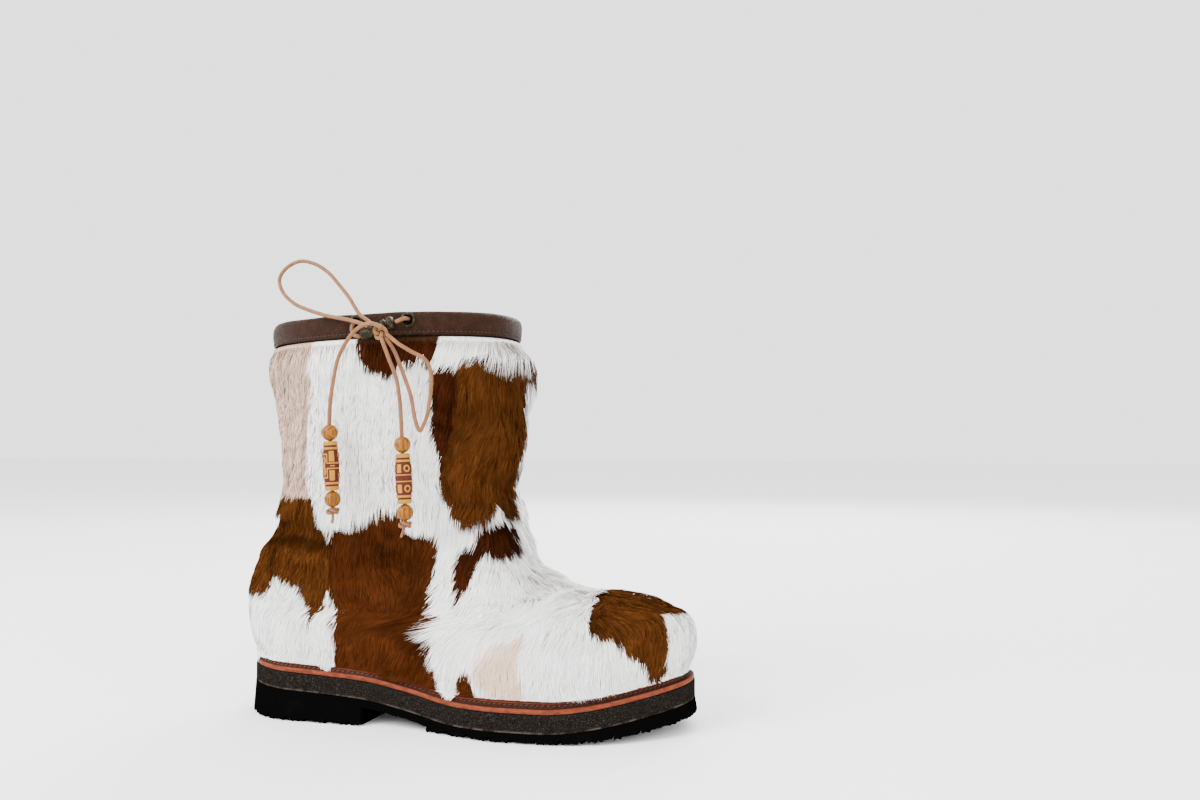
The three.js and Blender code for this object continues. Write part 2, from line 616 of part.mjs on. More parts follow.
// Leather band folded over the upper's top edge, with a hole for each eyelet
const BAND_FACE = GAP + BAND_LEATHER;
function collarBinding() {
  const inner = -WALL - GAP;
  const section = [
    { offset: BAND_FACE, drop: BAND_HEIGHT },
    { offset: BAND_FACE + BAND_BULGE, drop: BAND_HEIGHT * 0.5 },
    { offset: BAND_FACE + BAND_BULGE * 0.4, drop: BAND_HEIGHT * 0.12 },
    { offset: GAP, drop: 0 },
    { offset: inner, drop: 0 },
    { offset: inner - BAND_LEATHER, drop: BAND_HEIGHT * 0.12 },
    { offset: inner - BAND_LEATHER, drop: BAND_HEIGHT },
    { offset: inner, drop: BAND_HEIGHT },
    { offset: inner, drop: BAND_LEATHER },
    { offset: GAP, drop: BAND_LEATHER },
    { offset: GAP, drop: BAND_HEIGHT },
  ];
  const rings = section.map(({ offset, drop }) => ring((turn) => collarPoint(turn, offset, drop)));
  const holes = EYELET_SIDES.map((side) => {
    const depth = BAND_LEATHER + BAND_BULGE + CLEAR;
    const hole = new THREE.CylinderGeometry(EYELET_BARREL + GAP, EYELET_BARREL + GAP, depth, EYELET_SEGMENTS);
    hole.translate(0, GAP / 2 + depth / 2, 0);
    return solid(hole.applyMatrix4(eyeletPlace(side)));
  });
  return geometryOf(solid(loopBody(rings)).subtract(joined(holes)));
}

// Places of the eyelets on the outer side of the collar: the turn whose point has the eyelet's x
const EYELET_SIDES = [
  { name: "eyelet_back", x: EYELET_MIDDLE - EYELET_SPACING / 2 },
  { name: "eyelet_front", x: EYELET_MIDDLE + EYELET_SPACING / 2 },
];
const EYELET_SEGMENTS = 12;
function eyeletPlace({ x }) {
  const share = (x - COLLAR_BACK) / COLLAR_LENGTH;
  const turn = Math.acos(1 - 2 * share) / (2 * Math.PI);
  const base = collarPoint(turn, 0, EYELET_DROP);
  const out = collarPoint(turn, 1, EYELET_DROP).sub(base).setZ(0).normalize();
  const along = new THREE.Vector3(out.y, -out.x, 0);
  const up = new THREE.Vector3(0, 0, 1);
  return new THREE.Matrix4().makeBasis(along, out, up).setPosition(base);
}
function eyelet(side) {
  const seat = BAND_FACE + BAND_BULGE + GAP;
  const profile = [
    [EYELET_BORE, GAP],
    [EYELET_BARREL, GAP],
    [EYELET_BARREL, seat],
    [EYELET_RADIUS, seat],
    [EYELET_RADIUS - EYELET_FLANGE / 2, seat + EYELET_FLANGE],
    [EYELET_BORE + EYELET_FLANGE / 2, seat + EYELET_FLANGE],
    [EYELET_BORE, seat + EYELET_FLANGE / 2],
    [EYELET_BORE, GAP],
  ];
  return lathe(profile, EYELET_SEGMENTS).applyMatrix4(eyeletPlace(side));
}
function lathe(profile, segments) {
  return bare(new THREE.LatheGeometry(profile.map(([r, h]) => new THREE.Vector2(r, h)), segments));
}

// Turned body whose axis runs from one point to another
function alongAxis(geometry, from, to) {
  const axis = to.clone().sub(from).normalize();
  const turn = new THREE.Quaternion().setFromUnitVectors(new THREE.Vector3(0, 1, 0), axis);
  return geometry.applyQuaternion(turn).translate(from.x, from.y, from.z);
}

// A point of the tied cord: shares of the bow's span along from the middle between the eyelets, out from the
// collar's widest side and up from its edge
const BOW_SPAN = 100;
function cordPoint([along, out, up]) {
  const x = EYELET_MIDDLE + along * BOW_SPAN;
  return new THREE.Vector3(x, -COLLAR_WIDTH / 2 - out * BOW_SPAN, collarEdge(EYELET_MIDDLE) + up * BOW_SPAN);
}

// Barrel lock on the cord: a button, a neck and two rings at its front end
const LOCK_BACK = cordPoint([-0.099, 0.08, -0.146]);
const LOCK_FRONT = cordPoint([0.118, 0.08, -0.07]);
const LOCK_PROFILE = [
  { along: 0, wide: 0.5 },
  { along: 0.05, wide: 0.8 },
  { along: 0.2, wide: 0.95 },
  { along: 0.55, wide: 0.95 },
  { along: 0.6, wide: 0.62 },
  { along: 0.66, wide: 0.95 },
  { along: 0.74, wide: 0.95 },
  { along: 0.79, wide: 0.62 },
  { along: 0.85, wide: 1 },
  { along: 0.94, wide: 1 },
  { along: 1, wide: 0.55 },
];
function cordLock() {
  const length = LOCK_BACK.distanceTo(LOCK_FRONT);
  const points = LOCK_PROFILE.map(({ along, wide }) => [(wide * LOCK_DIAMETER) / 2, along * length]);
  return alongAxis(lathe([[0, 0], ...points, [0, length]], TURNED_SEGMENTS), LOCK_BACK, LOCK_FRONT);
}

// Round cord along hand-set points
function cord(points) {
  const path = new THREE.CatmullRomCurve3(points.map(cordPoint));
  const steps = Math.max(Math.round(path.getLength() / CORD_STEP), 2);
  const radius = CORD_DIAMETER / 2;
  const section = new THREE.Shape(
    range(CORD_SIDES).map((i) => {
      const angle = (i / CORD_SIDES) * 2 * Math.PI;
      return new THREE.Vector2(radius * Math.cos(angle), radius * Math.sin(angle));
    }),
  );
  return bare(new THREE.ExtrudeGeometry(section, { steps, bevelEnabled: false, extrudePath: path }));
}

// Routes of the cord's visible lengths
const CORDS = {
  draw_cord_front: [
    [0.164, -0.014, -0.041], [0.162, 0.03, -0.043], [0.152, 0.062, -0.053], [0.129, 0.076, -0.066],
  ],
  draw_cord_back: [
    [-0.157, 0.02, -0.057], [-0.161, 0.058, -0.068], [-0.163, 0.08, -0.102], [-0.146, 0.083, -0.14],
    [-0.112, 0.081, -0.151],
  ],
  bow_loop_upper: [
    [-0.004, 0.136, -0.086], [-0.04, 0.106, -0.063], [-0.132, 0.044, -0.008], [-0.215, 0.02, 0.099],
    [-0.295, -0.002, 0.184], [-0.373, -0.018, 0.26], [-0.476, -0.029, 0.322], [-0.585, -0.034, 0.343],
    [-0.679, -0.03, 0.298], [-0.712, -0.018, 0.233], [-0.677, 0, 0.149], [-0.585, 0.02, 0.071],
    [-0.482, 0.034, 0.027], [-0.355, 0.044, -0.012], [-0.194, 0.084, -0.046], [-0.094, 0.14, -0.072],
    [-0.024, 0.168, -0.096],
  ],
  bow_loop_lower: [
    [0.095, 0.14, -0.175], [0.131, 0.12, -0.238], [0.181, 0.104, -0.366], [0.234, 0.096, -0.518],
    [0.259, 0.092, -0.651], [0.289, 0.09, -0.722], [0.318, 0.092, -0.676], [0.338, 0.094, -0.626],
    [0.35, 0.096, -0.556], [0.364, 0.1, -0.467], [0.362, 0.106, -0.369], [0.331, 0.116, -0.301],
    [0.242, 0.134, -0.249], [0.168, 0.148, -0.202], [0.11, 0.154, -0.154],
  ],
  cord_end_back: [
    [0.075, 0.188, -0.107], [0.021, 0.198, -0.087], [-0.048, 0.192, -0.104], [-0.137, 0.164, -0.167],
    [-0.222, 0.134, -0.285], [-0.264, 0.118, -0.437], [-0.282, 0.112, -0.533], [-0.289, 0.11, -0.678],
  ],
  cord_end_front: [
    [0.075, 0.164, -0.178], [0.116, 0.154, -0.291], [0.153, 0.13, -0.405], [0.172, 0.118, -0.538],
    [0.185, 0.112, -0.75],
  ],
};

// Knot of the bow and the small ones under the beads
const BOW_CENTRE = cordPoint([0.059, 0.15, -0.135]);
const BOW_RADIUS = 2.6;
const END_KNOT_RADIUS = 2.3;
const END_KNOT_TUBE = 0.85; // the cord is drawn thin there
const TAIL = 7;
function bowKnot() {
  const knot = new THREE.TorusKnotGeometry(BOW_RADIUS, CORD_DIAMETER / 2 - 0.05, 26, 5);
  knot.rotateX(Math.PI / 2);
  return bare(knot.translate(BOW_CENTRE.x, BOW_CENTRE.y, BOW_CENTRE.z));
}

// Beads and end knot hang in line from a point, each below the one before it
const STRINGS = [
  { end: "back", from: cordPoint([-0.289, 0.11, -0.681]), to: cordPoint([-0.262, 0.11, -1.142]), skew: 0 },
  { end: "front", from: cordPoint([0.186, 0.112, -0.753]), to: cordPoint([0.21, 0.112, -1.212]), skew: 0.5 },
];
function beadString({ end, from, to, skew }) {
  const axis = to.clone().sub(from).normalize();
  const at = (distance) => from.clone().addScaledVector(axis, distance);
  const pieces = [];
  let reach = 0;
  const place = (name, geometry, length) => {
    pieces.push([name, alongAxis(geometry, at(reach), at(reach + length))]);
    reach += length + GAP;
  };
  place(`bead_${end}_top`, roundBead(), ROUND_BEAD);
  place(`bead_${end}_barrel`, barrelBead(), BARREL_LENGTH);
  place(`bead_${end}_low`, roundBead(), ROUND_BEAD);
  place(`end_knot_${end}`, endKnot(skew), TAIL);
  return pieces;
}
function roundBead() {
  const radius = ROUND_BEAD / 2;
  return bare(new THREE.SphereGeometry(radius, TURNED_SEGMENTS, 7)).translate(0, radius, 0);
}
const BARREL_PROFILE = [
  { along: 0, wide: 0.72 },
  { along: 0.03, wide: 0.8 },
  { along: 0.25, wide: 0.94 },
  { along: 0.5, wide: 1 },
  { along: 0.75, wide: 0.94 },
  { along: 0.97, wide: 0.8 },
  { along: 1, wide: 0.72 },
];
function barrelBead() {
  const radius = BARREL_DIAMETER / 2;
  const points = BARREL_PROFILE.map(({ along, wide }) => [wide * radius, along * BARREL_LENGTH]);
  return lathe([[0, 0], ...points, [0, BARREL_LENGTH]], TURNED_SEGMENTS);
}
function endKnot(skew) {
  const tube = END_KNOT_TUBE;
  const knot = new THREE.TorusKnotGeometry(END_KNOT_RADIUS, tube, 21, 5);
  knot.rotateX(Math.PI / 2);
  knot.translate(0, END_KNOT_RADIUS / 2 + tube, 0);
  const tail = new THREE.CylinderGeometry(tube, tube * 0.5, TAIL, 6);
  tail.translate(END_KNOT_RADIUS * 0.7, TAIL / 2 + tube, 0);
  tail.rotateZ(-skew);
  return geometryOf(joined([solid(knot), solid(tail)]));
}

// Colours and finish of each material
const FINISH = {
  rubber: { color: "#141416", roughness: 0.75, metalness: 0 },
  felt: { color: "#4b443c", roughness: 0.9, metalness: 0 },
  weltLeather: { color: "#aa5a37", roughness: 0.6, metalness: 0 },
  board: { color: "#b89a72", roughness: 0.8, metalness: 0 },
  hide: { color: "#a5693a", roughness: 0.95, metalness: 0 },
  bandLeather: { color: "#4a3830", roughness: 0.5, metalness: 0 },
  brass: { color: "#5c4a26", roughness: 0.4, metalness: 1 },
  thong: { color: "#b4825f", roughness: 0.6, metalness: 0 },
  bone: { color: "#c98f34", roughness: 0.35, metalness: 0 },
};
const materials = Object.fromEntries(
  Object.entries(FINISH).map(([name, values]) => [name, new THREE.MeshStandardMaterial(values)]),
);

const boot = new THREE.Group();
function add(name, geometry, material) {
  const mesh = new THREE.Mesh(geometry, material);
  mesh.name = name;
  boot.add(mesh);
}

add("outsole", outsole(), materials.rubber);
add("midsole", midsole(), materials.felt);
add("welt", welt(), materials.weltLeather);
add("insole", insole(), materials.board);
add("upper", upper(), materials.hide);
add("collar_binding", collarBinding(), materials.bandLeather);
for (const side of EYELET_SIDES) add(side.name, eyelet(side), materials.brass);
add("cord_lock", cordLock(), materials.brass);
for (const [name, points] of Object.entries(CORDS)) add(name, cord(points), materials.thong);
add("bow_knot", bowKnot(), materials.thong);
for (const string of STRINGS) {
  for (const [name, geometry] of beadString(string)) {
    add(name, geometry, name.startsWith("bead") ? materials.bone : materials.thong);
  }
}

boot.position.set(-HEEL_CENTRE, 0, 0);
export default boot;
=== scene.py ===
"""Looks of a fur mukluk boot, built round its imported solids.

Forms are worked out in millimetres with the heel's back edge at x = 0. Every mesh is made in metres in the row
frame, whose origin lies under the middle of the heel.
"""

import math

import bpy
import numpy as np
from bpy.props import FloatProperty, FloatVectorProperty, IntProperty, PointerProperty
from mathutils import Matrix, Vector


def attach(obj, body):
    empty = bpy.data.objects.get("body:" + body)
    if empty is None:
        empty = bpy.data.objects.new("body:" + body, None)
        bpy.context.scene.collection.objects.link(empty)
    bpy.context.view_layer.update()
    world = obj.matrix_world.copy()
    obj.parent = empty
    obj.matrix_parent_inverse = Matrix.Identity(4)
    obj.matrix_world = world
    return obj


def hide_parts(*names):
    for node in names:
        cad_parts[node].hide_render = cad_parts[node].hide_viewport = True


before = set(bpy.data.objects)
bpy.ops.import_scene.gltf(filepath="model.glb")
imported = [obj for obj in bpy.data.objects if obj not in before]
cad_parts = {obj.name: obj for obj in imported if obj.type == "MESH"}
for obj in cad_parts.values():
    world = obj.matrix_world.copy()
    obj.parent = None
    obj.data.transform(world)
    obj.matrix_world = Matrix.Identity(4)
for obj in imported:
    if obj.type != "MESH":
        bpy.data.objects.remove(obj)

bl_info = {
    "name": "Mukluk boot",
    "version": (1, 0, 0),
    "blender": (4, 5, 0),
    "location": "3D View > Sidebar > Mukluk",
    "description": "Dresses the solids of a fur boot with a beaded draw cord",
    "category": "Add Mesh",
}

MM = 0.001

# Sole
SOLE_LENGTH = 292
BALL_WIDTH = 114
HEEL_HEIGHT = 20.8
BALL_HEIGHT = 5.8
TOE_HEIGHT = 17.6
TOE_SPRING = 8.6
MIDSOLE_THICKNESS = 11
OUTSOLE_FLARE = 1.3
WAIST_RUBBER = 4.6
LUG_DEPTH = 2.8
LUG_GAP = 2.4
LUG_PITCH = 14.4
FIRST_LUG = 0.8
LUG_REACH = 21
MIDDLE_BAR = 26
HEEL_CENTRE = LUG_PITCH * (FIRST_LUG + 2)

# Welt
WELT_REACH = 8
WELT_THICKNESS = 2.8
WELT_SETBACK = 0.6
LIP_HEIGHT = 3
LIP_WIDTH = 2.4
WELT_FLANGE = 3

# Upper
BOOT_HEIGHT = 253.7
ANKLE_HEIGHT = 139
COLLAR_RISE = 2.2
COLLAR_LENGTH = 163.2
COLLAR_WIDTH = 115.2
COLLAR_BACK = 12.8
DOME_RADIUS = 46
SWELL = 2.2
WALL = 3
PILE_DEPTH = 4.2
HEM_STEP = 2.4

# Collar band, eyelets, cord, lock and beads
BAND_HEIGHT = 14.4
BAND_LEATHER = 1.6
BAND_BULGE = 0.7
EYELET_RADIUS = 4.7
EYELET_BORE = 2.8
EYELET_BARREL = 3.5
EYELET_FLANGE = 1
EYELET_DROP = 5.3
EYELET_SPACING = 31.6
EYELET_MIDDLE = 111.8
CORD_DIAMETER = 2.4
ROUND_BEAD = 9.8
BARREL_LENGTH = 29.6
BARREL_DIAMETER = 10.6
LOCK_DIAMETER = 8.4
GAP = 0.3
CLEAR = 2

# Camera of the photograph, for a frame 1200 pixels wide
FRAME_WIDTH, FRAME_HEIGHT = 1200, 800
FOCAL = 1052.186
AZIMUTH, ELEVATION = math.radians(14.034), math.radians(-2.195)
CAMERA_AT = np.array([394.844, -644.111, 176.512])
CAMERA_BACK = np.array([
    math.sin(AZIMUTH) * math.cos(ELEVATION),
    -math.cos(AZIMUTH) * math.cos(ELEVATION),
    math.sin(ELEVATION),
])
CAMERA_RIGHT = np.array([math.cos(AZIMUTH), math.sin(AZIMUTH), 0])
CAMERA_UP = np.cross(CAMERA_BACK, CAMERA_RIGHT)


def mix(a, b, t):
    return a + (b - a) * t


def unit(v):
    return v / np.maximum(np.linalg.norm(v, axis=-1, keepdims=True), 1e-9)


def dot(a, b):
    return np.sum(a * b, axis=-1, keepdims=True)


def photo_place(points):
    """Pixel columns and rows at which points show in the photograph's frame."""
    away = points - CAMERA_AT
    depth = -away @ CAMERA_BACK
    across = FRAME_WIDTH / 2 + FOCAL * (away @ CAMERA_RIGHT) / depth
    return across, FRAME_HEIGHT / 2 - FOCAL * (away @ CAMERA_UP) / depth


def facing(points, normals):
    """How squarely each face looks at the camera, from -1 to 1."""
    return dot(unit(CAMERA_AT - points), normals)[..., 0]


def noise(points, size, seed=0):
    """Smooth noise from -1 to 1, with bumps of that size in millimetres."""
    p = points / size
    cell = np.floor(p).astype(np.int64)
    t = p - cell
    t = t * t * (3 - 2 * t)
    total = 0
    for corner in range(8):
        step = np.array([corner & 1, corner >> 1 & 1, corner >> 2])
        key = (cell + step) @ np.array([73856093, 19349663, 83492791]) + seed * 2654435
        key = (key ^ (key >> 13)) * 1274126177
        value = ((key ^ (key >> 16)) & 0xFFFF) / 32767.5 - 1
        total = total + value * np.prod(np.where(step == 1, t, 1 - t), axis=-1)
    return total


# Forms of the sole and the upper, by the same tables as the solids


def columns(names, *rows):
    """A short table as one array for each of its named columns."""
    return dict(zip(names.split(), np.array(rows, float).T))


def curve(x, y):
    """Smooth curve through a table's rows that never overshoots them."""
    rise = np.diff(y) / np.diff(x)
    before, after = np.append(rise[:1], rise), np.append(rise, rise[-1:])
    total = np.where(before * after <= 0, 1, before + after)
    slope = np.where(before * after <= 0, 0, 2 * before * after / total)

    def value(v):
        v = np.clip(v, x[0], x[-1])
        i = np.clip(np.searchsorted(x, v, side="right") - 1, 0, len(x) - 2)
        step = x[i + 1] - x[i]
        t = (v - x[i]) / step
        low = y[i] * (1 + 2 * t) * (1 - t) ** 2 + slope[i] * step * t * (1 - t) ** 2
        return low + y[i + 1] * t * t * (3 - 2 * t) + slope[i + 1] * step * t * t * (t - 1)

    return value


def curves(table, at):
    """Curves of a table's columns over the one named."""
    return {name: curve(table[at], column) for name, column in table.items()}


def round_end(t, power):
    return (1 - (1 - np.clip(t, 0, 1)) ** power) ** (1 / power)


HEEL_POWER, TOE_POWER, BLEND = 2, 2.3, 4


def soft_min(a, b):
    with np.errstate(divide="ignore"):
        return (np.maximum(a, 0) ** -BLEND + np.maximum(b, 0) ** -BLEND) ** (-1 / BLEND)


PLAN = columns(
    "along lateral medial swing shelf",
    (0.0, 0.36, 0.34, 0, 0.5),
    (0.14, 0.365, 0.345, 0, 0.55),
    (0.41, 0.37, 0.3, 0, 0.68),
    (0.64, 0.5, 0.44, 0.014, 1),
    (0.7, 0.502, 0.48, 0.02, 1),
    (0.83, 0.485, 0.472, 0.037, 1),
    (1.0, 0.4, 0.42, 0.06, 1),
)
plan = curves(PLAN, "along")
HEEL_ROUND, TOE_ROUND = 0.15, 0.3
ARCH = columns(
    "along heel ball toe",
    (0.0, 1, 0, 0),
    (0.3, 0.72, 0.28, 0),
    (0.55, 0, 1, 0),
    (0.72, 0, 1, 0),
    (1.0, 0, 0, 1),
)
arch = curve(ARCH["along"], ARCH["heel"] * HEEL_HEIGHT + ARCH["ball"] * BALL_HEIGHT + ARCH["toe"] * TOE_HEIGHT)
TREAD = columns("along rise", (0.0, 0), (0.74, 0), (0.88, 0.34), (1.0, 1))
tread = curve(TREAD["along"], TREAD["rise"] * TOE_SPRING)
HEEL_BREAST, TREAD_START, TREAD_END = 0.315, 0.468, 0.93


def midsole_under(x):
    return arch(x / SOLE_LENGTH)


def midsole_top(x):
    return midsole_under(x) + MIDSOLE_THICKNESS


def feather(x):
    return midsole_top(x) + WELT_THICKNESS + 2 * GAP


def plan_half(along, lateral):
    return np.where(lateral, plan["lateral"](along), plan["medial"](along)) * BALL_WIDTH


def edge_points(turn):
    """Points of the sole's edge. turn runs from 0 at the heel, by the outer side, to a half at the toe."""
    angle = turn * 2 * np.pi
    along = (1 - np.cos(angle)) / 2
    lateral = np.sin(angle) >= 0
    ends = round_end(along / HEEL_ROUND, HEEL_POWER) * round_end((1 - along) / TOE_ROUND, TOE_POWER)
    half = plan_half(along, lateral) * ends
    y = plan["swing"](along) * BALL_WIDTH + np.where(lateral, -half, half)
    return np.stack([along * SOLE_LENGTH, y, 0 * y], -1)


TURN_STEP = 0.002


def inset_points(turn, inset):
    """The same points moved inwards, square to the edge."""
    d = unit(edge_points(turn + TURN_STEP) - edge_points(turn - TURN_STEP))
    inwards = np.stack([-d[..., 1], d[..., 0], 0 * d[..., 0]], -1)
    return edge_points(turn) + inwards * np.asarray(inset)[..., None]


def shelf_at(turn):
    return plan["shelf"](edge_points(turn)[..., 0] / SOLE_LENGTH) * WELT_REACH


FOOT = columns(
    "row back back_up front front_up",
    (0, 0.017, 0, 0.973, 0),
    (1, 0.009, 0.07, 0.986, 0.093),
    (2, 0.0024, 0.15, 0.991, 0.185),
    (3, -0.0023, 0.225, 0.989, 0.266),
    (4, -0.005, 0.288, 0.974, 0.327),
    (5, -0.0054, 0.34, 0.942, 0.375),
    (6, -0.0046, 0.38, 0.897, 0.443),
    (7, -0.0027, 0.425, 0.803, 0.488),
    (8, 0.0025, 0.485, 0.727, 0.512),
    (9, 0.013, 0.57, 0.674, 0.582),
    (10, 0.0325, 0.67, 0.635, 0.67),
    (11, 0.057, 0.782, 0.617, 0.776),
    (12, 0.074, 0.893, 0.597, 0.867),
    (13, 0.081, 1, 0.586, 0.958),
)
SHAFT = columns(
    "row back back_up front front_up",
    (14, 0.064, 0.12, 0.963, 0.08),
    (15, 0.058, 0.265, 0.988, 0.215),
    (16, 0.044, 0.44, 1.003, 0.4),
    (17, 0.023, 0.635, 1, 0.605),
    (18, 0.001, 0.83, 1.009, 0.8),
    (19, 0, 1, 1, 1),
)
BAND_ROW, TOP_ROW = 19, 20
FORM = columns(
    "row follow foot wide swell heel toe dome sag",
    (0, 1, 1, 0.82, 0, 0.15, 0.3, 0, 0),
    (1, 0.92, 1, 0.82, 0.7, 0.15, 0.3, 0.12, 0),
    (2, 0.78, 0.98, 0.82, 1, 0.15, 0.3, 0.3, 0),
    (3, 0.6, 0.94, 0.82, 1, 0.15, 0.29, 0.48, 0),
    (5, 0.3, 0.84, 0.82, 0.8, 0.16, 0.2, 0.72, 0.02),
    (7, 0.1, 0.7, 0.82, 0.4, 0.19, 0.12, 0.88, 0.048),
    (9, 0, 0.54, 0.82, 0, 0.24, 0.16, 1, 0.058),
    (10, 0, 0.44, 0.83, 0, 0.28, 0.24, 1, 0.045),
    (11, 0, 0.33, 0.84, 0, 0.33, 0.33, 0.9, 0.03),
    (12, 0, 0.22, 0.86, 0, 0.39, 0.42, 0.65, 0.014),
    (13, 0, 0.13, 0.88, 0, 0.44, 0.48, 0.3, 0),
    (14, 0, 0.06, 0.905, 0, 0.48, 0.5, 0, 0),
    (16, 0, 0, 0.955, 0, 0.5, 0.5, 0, 0),
    (18, 0, 0, 0.995, 0, 0.5, 0.5, 0, 0),
    (BAND_ROW, 0, 0, 1, 0, 0.5, 0.5, 0, 0),
    (TOP_ROW, 0, 0, 1, 0, 0.5, 0.5, 0, 0),
)
form = curves(FORM, "row")


def collar_edge(x):
    half = COLLAR_LENGTH / 2
    return BOOT_HEIGHT + COLLAR_RISE * (x - COLLAR_BACK - half) / half


def profile():
    """Curves of the back and front line of the upper as seen from the side."""
    rows = np.append(np.append(FOOT["row"], SHAFT["row"]), TOP_ROW)
    found = {}
    for side in ("back", "front"):
        foot_x = FOOT[side] * SOLE_LENGTH
        foot_z = mix(feather(foot_x), ANKLE_HEIGHT, FOOT[side + "_up"])
        shaft_x = COLLAR_BACK + SHAFT[side] * COLLAR_LENGTH
        shaft_z = mix(ANKLE_HEIGHT, collar_edge(shaft_x) - BAND_HEIGHT - GAP, SHAFT[side + "_up"])
        top_x, top_z = shaft_x[-1], shaft_z[-1] + BAND_HEIGHT - BAND_LEATHER
        found[side + "_x"] = curve(rows, np.concatenate([foot_x, shaft_x, [top_x]]))
        found[side + "_z"] = curve(rows, np.concatenate([foot_z, shaft_z, [top_z]]))
    return found


line = profile()
RIDGE_ROWS = np.linspace(3, 14, 45)
RIDGE = list(zip(line["front_x"](RIDGE_ROWS), line["front_z"](RIDGE_ROWS)))


def ridge_distance(x, z):
    """Distance to the line of the toe box, vamp and instep as seen from the side."""
    least = np.full(x.shape, np.inf)
    for (ax, az), (bx, bz) in zip(RIDGE[:-1], RIDGE[1:]):
        dx, dz = bx - ax, bz - az
        t = np.clip(((x - ax) * dx + (z - az) * dz) / (dx * dx + dz * dz), 0, 1)
        least = np.minimum(least, np.hypot(x - ax - t * dx, z - az - t * dz))
    return least


SEAT_ROWS = 1.5


def hide_points(turn, row):
    """Points of the hide's outer face, each on a section of the tables and a turn round it."""
    angle = turn * 2 * np.pi
    share = (1 - np.cos(angle)) / 2
    lateral = np.sin(angle) >= 0
    x = mix(line["back_x"](row), line["front_x"](row), share)
    chord = mix(feather(line["back_x"](row)), feather(line["front_x"](row)), share)
    z = mix(line["back_z"](row), line["front_z"](row), share) + form["follow"](row) * (feather(x) - chord)
    z = z - form["sag"](row) * ANKLE_HEIGHT * 4 * share * (1 - share)
    along = np.clip(x / SOLE_LENGTH, 0, 1)
    foot_half = plan_half(along, lateral) - plan["shelf"](along) * WELT_REACH + form["swell"](row) * SWELL
    back = round_end(share / form["heel"](row), HEEL_POWER)
    dome = ridge_distance(x, z) / (DOME_RADIUS * form["dome"](row) + GAP)
    front = round_end(soft_min((1 - share) / form["toe"](row), dome), TOE_POWER)
    half = mix(COLLAR_WIDTH / 2 * form["wide"](row), foot_half, form["foot"](row)) * back * front
    middle = plan["swing"](along) * BALL_WIDTH * form["foot"](row)
    points = np.stack([x, middle + np.where(lateral, -half, half), z], -1)
    seated = 1 - np.clip(row / SEAT_ROWS, 0, 1)
    edge = inset_points(turn, shelf_at(turn))
    level = mix(line["back_z"](0), line["front_z"](0), share) + feather(x) - chord
    edge[..., 2] = feather(edge[..., 0]) + z - level
    return mix(points, edge, (seated * seated * (3 - 2 * seated))[..., None])


FEATHER_LINE, HEM_ROW, PILE_TOP, ROW_EDGE = 0.42, 12.8, 18.94, 0.03
OUTER = columns(
    "row pile step",
    (0, 0, 0),
    (FEATHER_LINE, 0, 0),
    (FEATHER_LINE + ROW_EDGE, 0.9, 0),
    (1.1, 1, 0),
    (HEM_ROW - 0.35, 1, 0),
    (HEM_ROW + ROW_EDGE, 1, 1),
    (13.8, 1, 0.7),
    (15, 1, 0.35),
    (16.3, 1, 0.1),
    (17.6, 1, 0),
    (PILE_TOP - ROW_EDGE, 1, 0.2),
    (PILE_TOP + ROW_EDGE, 0, 0),
    (TOP_ROW, 0, 0),
)


def pile(row):
    """How far the solid's pile stands off the hide."""
    return np.interp(row, OUTER["row"], OUTER["pile"] * PILE_DEPTH + OUTER["step"] * HEM_STEP)


# Creases and seams of the hide: depth and half width, then places in the photograph's frame. Their depth also darkens
# the hair over them as painted shade
CREASES = [
    (1.0, 2.6, [(430, 345), (430, 390), (431, 440), (440, 500)]),
    (1.0, 2.6, [(455, 365), (453, 430), (444, 490)]),
    (0.9, 2.6, [(313, 340), (309, 440), (311, 500)]),
    (1.0, 2.4, [(330, 585), (335, 640), (337, 677)]),
    (1.2, 2.2, [(304, 590), (304, 630), (303, 668)]),
    (3.2, 3.2, [(268, 528), (296, 531), (331, 534)]),
    (-1.6, 6.0, [(262, 551), (290, 549), (318, 556)]),
    (-1.2, 4.0, [(278, 515), (300, 517), (322, 520)]),
    (1.6, 5.0, [(505, 531), (514, 537), (524, 540)]),
    (1.4, 9.0, [(541, 562), (528, 590), (505, 622)]),
    (-1.2, 10.0, [(560, 578), (548, 610), (532, 640)]),
    (1.0, 8.0, [(586, 592), (583, 620), (572, 650)]),
    (0.9, 2.4, [(430, 600), (424, 640), (440, 695)]),
    (1.2, 9.0, [(345, 545), (380, 541), (420, 552)]),
]
UNDERFUR = 0.42
SOFT_WAVE = 0.7


